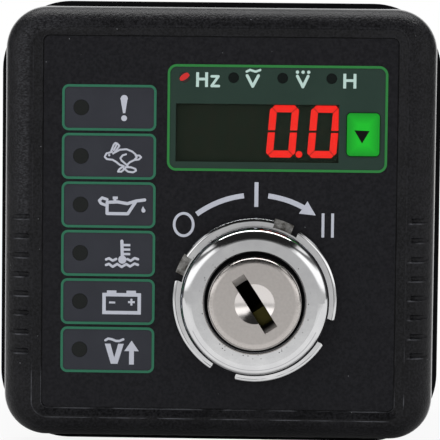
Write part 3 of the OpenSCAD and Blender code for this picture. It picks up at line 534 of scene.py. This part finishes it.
def worn_edges_and_painted_highlights(place):
    """Lip edges pale with wear that are also painted highlights, most of all at the bottom, a painted
    highlight below each finger groove, and the painted sheen.
    """
    x, z = axis(place, "X"), axis(place, "Z")
    # Both edges of the lip are pale with wear and painted as highlights, which grow towards the bottom,
    # where they face the light from above.
    inner, outer = (
        1 - ease(abs(from_rounded_box(x, z, *edge)), *LIP_FADE) for edge in (LIP_INSIDE, LIP_OUTSIDE))
    low = 0.1 + 0.9 * ease(z * -1, *LIP_LOW)
    # Below each finger groove lies a painted highlight on the groove's lower side, which faces the soft box
    # overhead.
    below = above_nearest(z, GROOVE_TOP, GROOVE_PITCH, LAST_GROOVE) + GROOVE_RADIUS
    streak = (1 - ease(abs(below), *GROOVE_FADE)) * ease(abs(x), *GROOVE_START)
    streak = streak * (1 - ease(abs(x), *GROOVE_END))
    marks = (inner.at_least(outer) * low).at_least(streak)
    return (marks * ease(cloud(place, 5, 6), 0.38, 0.62)).at_least(painted_sheen_on_round(place))


def polished_strip(place):
    """The outermost half millimetre, where the mould is smooth so that the bezel comes out."""
    return ease(from_rounded_box(axis(place, "X"), axis(place, "Z"), *BEZEL_OUTLINE), *POLISH_EDGE)


# The bezel carries wear, painted highlights, a painted sheen and the polished strip.
bezel_black = black_moulding("bezel_black", "18181a", roughness=0.32, grain=0.4, depth=0.1, dust=0.25,
                             wear_and_highlights=worn_edges_and_painted_highlights, polished=polished_strip)
dress(bezel_black, "front_bezel")

# %% [markdown]
# ## Printed film
# The front label is a polycarbonate film, printed on its back and embossed along the frames. Print could
# come from a picture. Here each field is worked out from its distance to a rounded rectangle, so that it
# stays sharp at any size and lies exactly on the embossed lines of the solid.

# %% Film with the lamp cells and the display's field
CELL_X, TOP_CELL, CELL_PITCH, LAST_CELL = -19.75, 20.45, 8.65, 5
DISPLAY_X, DISPLAY_Z = 10.15, 18.85
CELL_BOX, DISPLAY_BOX = (16.8, 8.2, 1.2), (39.1, 18.9, 1.6)  # width, height and corner in mm
PRINT_LINE = 0.45
FILM_DUST, CELL_FRAME, DISPLAY_FRAME = "85878a", "316a52", "307a3e"

film, shader, place = start_finish("overlay_film", Specular_IOR_Level=0.09)
x, z = axis(place, "X"), axis(place, "Z")
cell = from_rounded_box(x - CELL_X, above_nearest(z, TOP_CELL, CELL_PITCH, LAST_CELL), *CELL_BOX)
display = from_rounded_box(x - DISPLAY_X, z - DISPLAY_Z, *DISPLAY_BOX)
fine = cloud(place, 0.12, 3)
mottle = ease(cloud(place, 0.5, 4), 0.3, 0.7)
cell_field = blended(cloud(place, size=5), ink("2e2f35"), ink("36383e"))
display_field = blended(cloud(place, size=6), ink("25362f"), ink("2c3e36"))
printed = blended(mottle, ink("141417"), ink("1e1e21"))
printed = blended(specks(place, spacing=2.1, radius=0.07, share=0.3), printed, ink(FILM_DUST))
printed = blended(cell < 0, printed, ink(CELL_FRAME))
printed = blended(cell < -PRINT_LINE, printed, cell_field)
printed = blended(display < 0, printed, ink(DISPLAY_FRAME))
printed = blended(display < -PRINT_LINE, printed, display_field)
feed(shader, Base_Color=printed, Roughness=0.42 + fine * 0.14, Normal=bumped(fine, depth=0.012))
dress(film, "graphic_overlay")

# %% [markdown]
# ## Display
# Behind a smoky acrylic window sits a module with four red digits. The lit segments give off their own
# light, so they take an Emission colour instead of a lamp. The filter is a thin sheet, and a low Alpha
# lets the digits through without the noise of real refraction.

# %% Filter, module and segments
MATT = 0.1  # specular level of faces that hardly shine
SEGMENT_REDS = (1.0, 0.008, 0.006, 1), (1.0, 0.014, 0.01, 1)

smoke, shader, place = start_finish("smoked_filter", Alpha=0.35, Roughness=0.35, Specular_IOR_Level=0.04)
feed(shader, Base_Color=blended(cloud(place, size=3), ink("232c22"), ink("2c352b")))
dress(smoke, "display_filter")
for name, colour, roughness, piece in (
    ("display_resin", "141613", 0.6, "display_module"),
    ("unlit_segment", "241a17", 0.5, "display_segments_unlit"),
):
    finish = plain_finish(name, colour, roughness, grain=0.3, depth=0.002, Specular_IOR_Level=MATT)
    dress(finish, piece)

lit_red, shader, place = start_finish(
    "lit_segment", Roughness=0.5, Base_Color=ink("3a0806"), Emission_Strength=2.0)
feed(shader, Emission_Color=blended(cloud(place, size=1.2), *SEGMENT_REDS))
dress(lit_red, "display_segments_lit")

# %% [markdown]
# ## Lamps
# The lamps are small light-emitting diodes that show through round windows in the film. The lit one shows
# a slanting red streak in a dark lens, so its glow is an ellipse worked out in turned coordinates. The
# others could be clear plastic, but at this size a dull dark one looks the same and renders clean.

# %% Lit lamp and dark lamps
LAMP_X, LAMP_Z = -6.4, 26.1
STREAK_LEAN, STREAK_HALF_LENGTH, STREAK_HALF_WIDTH = math.radians(35), 1.05, 0.5
LENS_DARK, STREAK_RED = (0.008, 0.005, 0.004, 1), (0.37, 0.009, 0.008, 1)

lamp_on, shader, place = start_finish(
    "lamp_glowing", Roughness=0.25, Base_Color=ink("160706"), Emission_Strength=1.5)
x, z = axis(place, "X") - LAMP_X, axis(place, "Z") - LAMP_Z
along = x * math.cos(STREAK_LEAN) + z * math.sin(STREAK_LEAN)
across = z * math.cos(STREAK_LEAN) - x * math.sin(STREAK_LEAN)
streak = ((along / STREAK_HALF_LENGTH) ** 2 + (across / STREAK_HALF_WIDTH) ** 2) < 1
feed(shader, Emission_Color=blended(streak, LENS_DARK, STREAK_RED))
dress(lamp_on, "mode_led_lit")
for name, colour, piece in (
    ("warning_lamp_dark", "1e201f", "warning_leds"),
    ("mode_lamp_dark", "0c1311", "mode_leds"),
):
    finish = plain_finish(name, colour, roughness=0.55, grain=0.3, depth=0.004, Specular_IOR_Level=MATT)
    dress(finish, piece)

# %% [markdown]
# ## Select button
# A bright green keycap with a moulded grain, paler in its middle and darker towards its rim. This could be
# a painted mask. A distance from the keycap's outline gives it without one.

# %% Green keycap
BUTTON_X, BUTTON_Z, BUTTON_BOX = 25.4, 16.15, (5.8, 7.6, 0.7)

green, shader, place = start_finish("button_green", Specular_IOR_Level=0.15)
fine = cloud(place, 0.15, 3)
rim = from_rounded_box(axis(place, "X") - BUTTON_X, axis(place, "Z") - BUTTON_Z, *BUTTON_BOX)
# Paler towards the middle, darker within 2 mm of the rim.
toward_middle = (rim * -0.5).at_least(0).at_most(1)
feed(shader, Base_Color=blended(toward_middle, ink("119324"), ink("19bd2b")),
     Roughness=0.4 + fine * 0.15, Normal=bumped(fine, depth=0.012))
dress(green, "select_button")

# %% [markdown]
# ## Ring nut
# The nut that holds the key switch is bright chrome on brass. It mirrors the room, so its look comes mostly
# from the studio. What it adds itself is a slight haze, a turned line on its collar, a dark line on its
# flange that is a painted reflection of its rounded edge, and small pits along its edges, where chrome
# wears through first.

# %% Chrome with a turned line, a painted reflection line and pits
LOCK_X, LOCK_Z = 6.5, -13.4
COLLAR_LINE, FLANGE_REFLECTION_RADIUS = 11.85, 14.05  # mm from the lock's axis
COLLAR_LINE_HALF, FLANGE_REFLECTION_HALF = 0.07, 0.06  # mm, half of each line's width
COLLAR_LINE_TOP = -5  # mm over that axis
RING_EDGE, SHOULDER_EDGE, PIT_FADE = 9.5, 12.9, (0.2, 0.5)


def from_lock_axis(place):
    """Height over the lock's axis, and distance from it, in mm."""
    x, z = axis(place, "X") - LOCK_X, axis(place, "Z") - LOCK_Z
    return z, (x ** 2 + z ** 2) ** 0.5


chrome, shader, place = start_finish("nut_chrome", Metallic=1.0)
z, radius = from_lock_axis(place)
collar_line = (abs(radius - COLLAR_LINE) < COLLAR_LINE_HALF) * (z < COLLAR_LINE_TOP)
# Painted reflection: a broken dark line on the flange, standing in for what its rounded edge would mirror.
flange_painted_reflection = (abs(radius - FLANGE_REFLECTION_RADIUS) < FLANGE_REFLECTION_HALF) * ease(cloud(place, 4, 3), 0.35, 0.6)
ring_edge, shoulder_edge = (
    1 - ease(abs(radius - edge), *PIT_FADE) for edge in (RING_EDGE, SHOULDER_EDGE))
pits = specks(place, spacing=0.45, radius=0.1, share=0.3) * ring_edge.at_least(shoulder_edge)
silver = blended(cloud(place, 2.5, 4), ink("c9c9cb"), ink("e2e2e2"))
silver = blended(collar_line, silver, ink("b4b4b6"))
# The painted reflection line darkens the silver here.
silver = blended(flange_painted_reflection, silver, ink("6b6b6c"))
feed(shader, Base_Color=blended(pits, silver, ink("3c3a37")),
     Roughness=0.06 + cloud(place, size=0.6) * 0.06 + pits * 0.3,
     Normal=bumped(cloud(place, size=1.5), depth=0.004))
dress(chrome, "lock_ring_nut")

# %% [markdown]
# ## Key plug
# The plug is stainless steel that was turned on a lathe. The tool leaves rings about the axis, so its bump
# is a fine wave of the distance from that axis, and it falls off near the rim, where keys have rounded the
# edge. The dish is smoother, because keys polish it, and it is coloured paler as a painted sheen. The
# bottom of the keyway and the recess below the dish are painted nearly black as shade.

# %% Turned steel
PLUG_FACE = -18.5  # mm along Y, where the front is negative
KEYWAY_SHADE_DEPTH, DISH_EDGE, FOOT_EDGE = 1.3, 0.03, 0.1  # mm behind that face
DARK_RADIUS, DISH_RADIUS, FOOT_RADIUS = 7.4, 3.55, 3.6  # mm from the axis
RIM, FOOT_END = (7.0, 8.2), (4.5, 5.6)  # soft steps, also in mm from the axis
RING_RATE = 40  # radians a mm
LATHE_DEPTH, RIM_DROP = 0.0025, 0.3  # mm

turned, shader, place = start_finish("plug_steel", Metallic=1.0)
z, radius = from_lock_axis(place)
y = axis(place, "Y")
wave = radius * RING_RATE
rings = wave.maths("SINE", wave) * 0.5 + 0.5
scratches = cloud(place, 0.5, 5)
# Painted shade: more than 1.3 mm deep in the keyway the steel is coloured nearly black.
deep = (y > PLUG_FACE + KEYWAY_SHADE_DEPTH) * (radius < DARK_RADIUS)
dish = (y > PLUG_FACE + DISH_EDGE) * (radius < DISH_RADIUS)
rim = ease(radius, *RIM)
# Painted shade on the recessed faces just outside the dish, in the lower half.
low_recess_shade = (y > PLUG_FACE + FOOT_EDGE) * (radius > FOOT_RADIUS) * (z < 0) * (1 - ease(radius, *FOOT_END))
steel = blended(scratches, ink("b2ada9"), ink("cac4c0"))
# Painted sheen: the dish is coloured paler than the turned face.
steel = blended(dish, steel, ink("dcd7d4"))
lathe_marks = (rings + scratches) * (1 - dish * 0.9) * (1 - rim) * LATHE_DEPTH
# The painted shade of the keyway and the recess is nearly black.
feed(shader, Base_Color=blended(deep.at_least(low_recess_shade), steel, ink("161514")),
     Roughness=0.26 + scratches * 0.14 + deep * 0.3 - dish * 0.15 - rim * 0.16,
     Normal=bumped(lathe_marks - rim * RIM_DROP, depth=1))
dress(turned, "lock_plug")

# %% [markdown]
# ## Washer, barrel and wafers
# The tab washer under the nut is raw steel with dark stains, which also stand in as painted shade under the
# nut's flange. The barrel behind the panel is cast zinc, and the wafers in the keyway are brass painted
# dark as the keyway's shade, a finish that the brass pieces inside share. Stains could come from a picture
# of rust. A cloud with a soft step gives patches that are as uneven.

# %% Steel with stains and painted shade, zinc, and brass painted dark as shade
stains_and_shade, shader, place = start_finish("steel_stains_and_shade", Metallic=1.0)
# Dark patches are stains, and also painted shade where the washer lies under the nut's flange.
clean = ease(cloud(place, 1.4, 3), 0.3, 0.7)
feed(shader, Base_Color=blended(clean, ink("47433d"), ink("979694")), Roughness=0.5 - clean * 0.25,
     Normal=bumped(clean, depth=0.03))
dress(stains_and_shade, "lock_washer")
zinc = plain_finish("barrel_zinc", "8c8d90", roughness=0.42, grain=0.4, depth=0.01, metallic=1.0)
dress(zinc, "lock_barrel", "retaining_clip", "return_spring")
# This brass is painted dark, as the shade in the keyway.
brass = plain_finish("brass_painted_shade", "413d20", roughness=0.4, grain=0.3, depth=0.01, drift=0.5, metallic=1.0)
dress(brass, "wafer_tumblers", "contact_bridge", "switch_terminals", "board_link_pins")

# %% [markdown]
# ## Inside and rear pieces
# Boards, relays, capacitors and terminals are bought parts with their own plain finishes. Most are
# hidden, but the green terminal plug and its screws show at the back.

# %% Terminals, screws and pins
terminal_green = plain_finish(
    "terminal_green", "1f7a3c", roughness=0.45, grain=0.2, depth=0.015, Specular_IOR_Level=0.4)
dress(terminal_green, "terminal_header", "terminal_plug")
zinc_screw = plain_finish("zinc_screw", "b9b4a4", roughness=0.34, grain=0.4, depth=0.008, metallic=1.0)
dress(zinc_screw, "terminal_screws", "case_screws", "display_board_screws", "power_board_screws")
pin_tin = plain_finish("tinned_pin", "c9c9c6", roughness=0.32, grain=0.3, depth=0.006, metallic=1.0)
dress(pin_tin, "display_pins", "terminal_pins")

# %% Boards and what stands on them
dress(plain_finish("board_green", "14502a", roughness=0.38, grain=0.6, depth=0.01),
      "display_board", "power_board")
dress(plain_finish("part_black", "1a1a1b", roughness=0.5, grain=0.2, depth=0.01),
      "tact_switch_body", "tact_plunger", "microcontroller", "board_link_strips", "contact_rotor")
dress(plain_finish("relay_blue", "23406e", roughness=0.42, grain=0.3, depth=0.01),
      "fuel_relay", "crank_relay")
dress(plain_finish("capacitor_sleeve", "1c2236", roughness=0.34, grain=0.5, depth=0.006),
      "supply_capacitor", "filter_capacitor")
dress(plain_finish("spacer_nylon", "d8d5c8", roughness=0.5, grain=0.4, depth=0.01), "led_spacers")
dress(plain_finish("phenolic_brown", "2c1b12", roughness=0.5, grain=0.3, depth=0.012), "contact_base")

# %% [markdown]
# ## Printed marks
# Each warning lamp has a sign, and the key has its three positions. A sign is a few strokes with a pen:
# flat bars with round ends. A font or a traced picture isn't needed. Bars and discs are joined into one
# thin slab that lies on the film.

# %% A pen that draws flat bars and discs
INK_DEPTH = 0.03  # mm
COATS = 64  # slabs that may cross before a height is used again


class Pen:
    """Draws thin slabs on a plane that lies that many mm out of the panel."""

    def __init__(self, out):
        self.mesh = bmesh.new()
        self.out = out + INK_DEPTH / 2
        self.coats = 0

    def next_coat(self):
        """Height of the next slab, so that two that cross don't share a face."""
        self.coats += 1
        return self.out + (self.coats % COATS) * INK_DEPTH / COATS

    def bar(self, start, end, width):
        dx, dy = end[0] - start[0], end[1] - start[1]
        middle = panel_point((start[0] + end[0]) / 2, (start[1] + end[1]) / 2, self.next_coat())
        spot = (Matrix.Translation(middle) @ Matrix.Rotation(-math.atan2(dy, dx), 4, "Y")
                @ Matrix.Diagonal((math.hypot(dx, dy) * MM, INK_DEPTH * MM, width * MM, 1)))
        bmesh.ops.create_cube(self.mesh, size=1, matrix=spot)

    def dot(self, centre, radius, sides=16):
        middle = panel_point(*centre, self.next_coat())
        spot = Matrix.Translation(middle) @ Matrix.Rotation(math.pi / 2, 4, "X")
        bmesh.ops.create_cone(self.mesh, cap_ends=True, segments=sides, radius1=radius * MM,
                              radius2=radius * MM, depth=INK_DEPTH * MM, matrix=spot)

    def stroke(self, points, width, closed=False, round_ends=True):
        path = list(points) + ([points[0]] if closed else [])
        for start, end in zip(path, path[1:]):
            self.bar(start, end, width)
        for point in points if round_ends else points[1:-1]:
            self.dot(point, width / 2, sides=12)

    def plate(self, corners):
        low = self.next_coat() - INK_DEPTH / 2
        face = self.mesh.faces.new([self.mesh.verts.new(panel_point(*c, low)) for c in corners])
        grown = bmesh.ops.extrude_face_region(self.mesh, geom=[face])["geom"]
        verts = [g for g in grown if isinstance(g, bmesh.types.BMVert)]
        bmesh.ops.translate(self.mesh, vec=(0, -INK_DEPTH * MM, 0), verts=verts)

    def finish(self, name, body, ink_finish, slot):
        bmesh.ops.recalc_face_normals(self.mesh, faces=self.mesh.faces)
        made = bpy.data.objects.new(name, bpy.data.meshes.new(name))
        self.mesh.to_mesh(made.data)
        self.mesh.free()
        made.data.materials.append(ink_finish)
        scene.collection.objects.link(made)
        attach(made, body)
        print(name, len(made.data.polygons), "faces")


print("ink is", INK_DEPTH, "mm thick on the film at", FILM_FACE, "mm")

# %% Inks for the pen
pale_ink, mint_ink = (
    plain_finish(name, colour, roughness=0.5, depth=0.004, drift=0.1)
    for name, colour in (("pale_ink", "bdc0cb"), ("mint_ink", "bcd8cf")))
black_ink = plain_finish(
    "black_ink", "0c0f0b", roughness=0.6, depth=0.004, drift=0.1, Specular_IOR_Level=MATT)
print("inks:", pale_ink.name, mint_ink.name, black_ink.name)

# %% [markdown]
# ## Signs beside the warning lamps
# From the top they stand for a general fault, overspeed (a running hare), low oil pressure (an oil can),
# hot coolant (a thermometer over waves), battery charge and high voltage. Such signs are common to engine
# panels everywhere, and these are drawn afresh from plain strokes. All places are in mm on the film.

# %% General fault and overspeed
HARE_LINE = 0.33
signs = Pen(FILM_FACE)
signs.plate([(-17.8, 22.2), (-16.5, 22.2), (-16.9, 19.5), (-17.3, 19.5)])
signs.dot((-17.1, 22.1), 0.63)
signs.dot((-17.1, 18.6), 0.52)

ear = [(-19.4, 12.6), (-18.9, 13.9), (-18.6, 14.2), (-18.3, 14.1), (-17.9, 13.7), (-18.6, 12.7),
       (-19.0, 12.3)]
ear_fold = [(-18.9, 12.9), (-18.4, 13.9)]
head_and_chest = [(-19.2, 12.6), (-20.2, 12.3), (-20.5, 11.7), (-20.1, 11.3), (-19.1, 11.2), (-18.4, 10.8),
                  (-17.8, 10.3), (-17.1, 10.1)]
back_and_rump = [(-18.7, 12.5), (-17.8, 13.0), (-16.6, 13.1), (-15.6, 12.7), (-15.0, 12.2), (-14.8, 11.7),
                 (-15.2, 11.2), (-16.0, 10.8), (-16.4, 10.4)]
tail = [(-15.0, 12.0), (-14.3, 12.0), (-14.0, 11.7), (-14.4, 11.3), (-15.2, 11.2)]
thigh = [(-16.7, 12.2), (-17.3, 12.0), (-17.7, 11.5), (-17.5, 11.1), (-16.8, 10.5), (-16.2, 9.9)]
fore_foot = [(-17.1, 10.1), (-17.9, 9.5), (-18.1, 9.1), (-17.5, 9.1), (-16.8, 9.7)]
hind_foot = [(-16.8, 9.9), (-15.8, 9.9), (-15.0, 9.6), (-14.9, 9.3), (-15.4, 9.0), (-16.3, 9.1),
             (-17.1, 9.7)]
for line in (ear, ear_fold, head_and_chest, back_and_rump, tail, thigh, fore_foot, hind_foot):
    signs.stroke(line, HARE_LINE)
signs.dot((-19.7, 12.0), 0.2)
print("fault and overspeed:", len(signs.mesh.faces), "faces")

# %% Oil pressure and coolant
CAN_LINE, CAP_LINE, STEM_LINE, SCALE_LINE, WAVE_LINE = 0.56, 0.5, 0.56, 0.42, 0.44
signs.stroke([(-20.0, 4.1), (-20.9, 4.4), (-21.4, 3.9), (-21.1, 3.4), (-20.3, 3.1)], CAP_LINE)
signs.stroke([(-20.0, 3.6), (-20.0, 1.6), (-16.3, 1.6), (-14.8, 3.9), (-13.3, 4.1)], CAN_LINE)
signs.stroke([(-20.0, 3.6), (-18.1, 3.7), (-16.4, 3.4), (-14.8, 3.9)], CAN_LINE)
signs.bar((-19.0, 4.4), (-18.1, 4.4), CAP_LINE)
signs.bar((-18.6, 4.4), (-18.6, 3.7), CAP_LINE)
signs.plate([(-13.6, 3.0), (-13.2, 2.3), (-13.9, 2.3)])
signs.dot((-13.5, 2.2), 0.36)

signs.stroke([(-17.3, -3.3), (-17.2, -6.3)], STEM_LINE)
signs.dot((-17.2, -6.6), 0.74)
for tick in (-4.0, -4.8, -5.6):
    signs.bar((-17.1, tick), (-15.8, tick), SCALE_LINE)
for line in (
    [(-20.1, -6.6), (-19.6, -6.4), (-18.9, -6.8), (-18.3, -6.5)],
    [(-16.3, -6.5), (-15.7, -6.8), (-15.0, -6.3), (-14.4, -6.5)],
    [(-20.1, -7.6), (-19.6, -7.4), (-18.9, -7.9), (-18.1, -7.4), (-17.3, -7.9), (-16.5, -7.4),
     (-15.8, -7.8), (-15.0, -7.3), (-14.4, -7.5)],
):
    signs.stroke(line, WAVE_LINE)
print("with oil and coolant:", len(signs.mesh.faces), "faces")

# %% Battery charge and high voltage
CASE_LINE, POST_LINE, MINUS_LINE, PLUS_LINE, TILDE_LINE, SHAFT_LINE = 0.62, 0.5, 0.34, 0.36, 0.42, 0.86
for level_line in (-12.9, -16.1):
    signs.bar((-20.7, level_line), (-13.8, level_line), CASE_LINE)
for side in (-20.4, -14.1):
    signs.bar((side, -12.7), (side, -16.4), CASE_LINE)
signs.bar((-19.9, -12.4), (-18.2, -12.4), POST_LINE)
signs.bar((-16.4, -12.4), (-14.7, -12.4), POST_LINE)
signs.bar((-19.5, -14.3), (-18.4, -14.3), MINUS_LINE)
signs.bar((-16.1, -14.2), (-14.9, -14.2), PLUS_LINE)
signs.bar((-15.5, -13.6), (-15.5, -14.8), PLUS_LINE)

signs.plate([(-20.2, -21.7), (-19.2, -21.7), (-18.5, -24.2), (-17.8, -21.7), (-16.8, -21.7),
             (-17.9, -25.3), (-19.1, -25.3)])
signs.stroke([(-20.1, -21.1), (-19.6, -20.8), (-19.0, -20.9), (-18.2, -21.2), (-17.6, -21.2),
              (-16.9, -20.9)], TILDE_LINE)
signs.plate([(-15.4, -21.1), (-14.1, -23.0), (-16.7, -23.0)])
signs.bar((-15.4, -22.9), (-15.4, -25.4), SHAFT_LINE)
signs.finish("lamp_symbols", "case", pale_ink, "overlay_film")

# %% [markdown]
# ## Key positions
# A ring stands for off, one bar for run and two bars for crank, joined by an arc with an arrowhead. The arc
# could be a curve with a bevel. As a row of short bars it is made by the same pen as the signs.

# %% Key legend
ARC_X, ARC_Y, ARC_RADIUS = 6.6, -12.5, 17.7
RING_LINE, ARC_LINE, RUN_LINE, CRANK_LINE = 0.48, 0.9, 0.7, 0.5


def oval(cx, cy, rx, ry, count=32):
    turns = [2 * math.pi * i / count for i in range(count)]
    return [(cx + rx * math.cos(t), cy + ry * math.sin(t)) for t in turns]


def arc(start, end, count=14):
    """Points from one angle to another, in degrees, on the arc about the key."""
    turns = [math.radians(start + (end - start) * i / count) for i in range(count + 1)]
    return [(ARC_X + ARC_RADIUS * math.cos(t), ARC_Y + ARC_RADIUS * math.sin(t)) for t in turns]


legend = Pen(FILM_FACE)
legend.stroke(oval(-6.3, -0.2, 1.7, 2.0), RING_LINE, closed=True)
for start, end in ((126.8, 97.2), (83.2, 60.5)):
    legend.stroke(arc(start, end), ARC_LINE, round_ends=False)
legend.plate([(17.2, 1.7), (15.7, 4.2), (14.2, 2.0)])
legend.bar((ARC_X, 7.5), (ARC_X, 3.1), RUN_LINE)
for x in (18.5, 20.2):
    legend.bar((x, 2.1), (x, -2.2), CRANK_LINE)
legend.finish("key_legend", "case", pale_ink, "overlay_film")

# %% [markdown]
# ## Display labels and the button's mark
# Above the display stand the signs of what it can show: frequency, two voltages and running hours. Letters
# could be Text objects made into meshes. These few are straight strokes, so the pen draws them too. The
# triangle on the button rides on the button, and sinks with it.

# %% Units and the triangle
LETTER_TOP, LETTER_FOOT, LETTER_BAR = 26.9, 24.3, 25.7
STEM, CROSSBAR, Z_LINE, V_LINE, WAVY_LINE = 0.52, 0.48, 0.45, 0.52, 0.4
BUTTON_FACE = 9.65  # mm out of the panel

labels = Pen(FILM_FACE)
for left, right_side in ((-4.1, -2.5), (22.0, 23.8)):
    for x in (left, right_side):
        labels.bar((x, LETTER_TOP), (x, LETTER_FOOT), STEM)
    labels.bar((left, LETTER_BAR), (right_side, LETTER_BAR), CROSSBAR)
labels.stroke([(-1.6, 26.2), (-0.4, 26.2), (-1.6, 24.5), (-0.3, 24.5)], Z_LINE)
labels.stroke([(4.7, 26.4), (5.7, 24.5), (6.7, 26.4)], V_LINE)
labels.stroke([(4.6, 27.1), (5.2, 27.4), (6.2, 27.1), (7.0, 27.4)], WAVY_LINE)
labels.stroke([(13.6, 26.4), (14.6, 24.5), (15.5, 26.4)], V_LINE)
for x in (13.6, 14.6, 15.6):
    labels.dot((x, 27.1), 0.3)
labels.finish("display_labels", "case", mint_ink, "overlay_film")

mark = Pen(BUTTON_FACE)
mark.plate([(23.8, 16.9), (26.5, 16.8), (25.2, 14.6)])
mark.finish("button_mark", "button", black_ink, "button_green")

# %% [markdown]
# ## Cages in the wire entries
# Each entry of the terminal plug holds a small plated cage that its screw closes on the wire. It is a
# block whose rear face is inset and pushed in, which is how a hollow is made from a solid in Blender.
# It lies deep in the dark, and takes the same tin as the pins, with its drift and grain.

# %% Twelve clamp cages
WAYS, TERMINAL_PITCH, TERMINAL_HEIGHT = 12, 3.81, -25.9
CAGE_WIDTH, CAGE_LENGTH, CAGE_HEIGHT = 2.5, 3.2, 2.8
CAGE_REAR, CAGE_WALL, CAGE_HOLLOW = -44.2, 0.35, 2.4

cages = bmesh.new()
size = Matrix.Diagonal((CAGE_WIDTH * MM, CAGE_LENGTH * MM, CAGE_HEIGHT * MM, 1))
for i in range(WAYS):
    across = (i - (WAYS - 1) / 2) * TERMINAL_PITCH
    middle = panel_point(across, TERMINAL_HEIGHT, CAGE_REAR + CAGE_LENGTH / 2)
    block = bmesh.ops.create_cube(cages, size=1, matrix=Matrix.Translation(middle) @ size)
    faces = {f for v in block["verts"] for f in v.link_faces}
    rear = max(faces, key=lambda f: f.calc_center_median().y)
    bmesh.ops.inset_individual(cages, faces=[rear], thickness=CAGE_WALL * MM)
    inner = bmesh.ops.extrude_discrete_faces(cages, faces=[rear])["faces"]
    bmesh.ops.translate(cages, vec=(0, -CAGE_HOLLOW * MM, 0), verts=inner[0].verts)
bmesh.ops.recalc_face_normals(cages, faces=cages.faces)
cage = bpy.data.objects.new("wire_cages", bpy.data.meshes.new("wire_cages"))
cages.to_mesh(cage.data)
cages.free()
cage.data.materials.append(bpy.data.materials["tinned_pin"])
scene.collection.objects.link(cage)
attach(cage, "case")
print("wire_cages", len(cage.data.polygons), "faces")

# %% [markdown]
# ## Size and finish
# The finished model has to stay as large as the solids, so both boxes are written down before the end.

# %% Write the boxes and finish
seen_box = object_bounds()
{"cad": [list(c) for c in cad_box], "visual": [list(c) for c in seen_box]}
print("boxes", cad_box, seen_box)
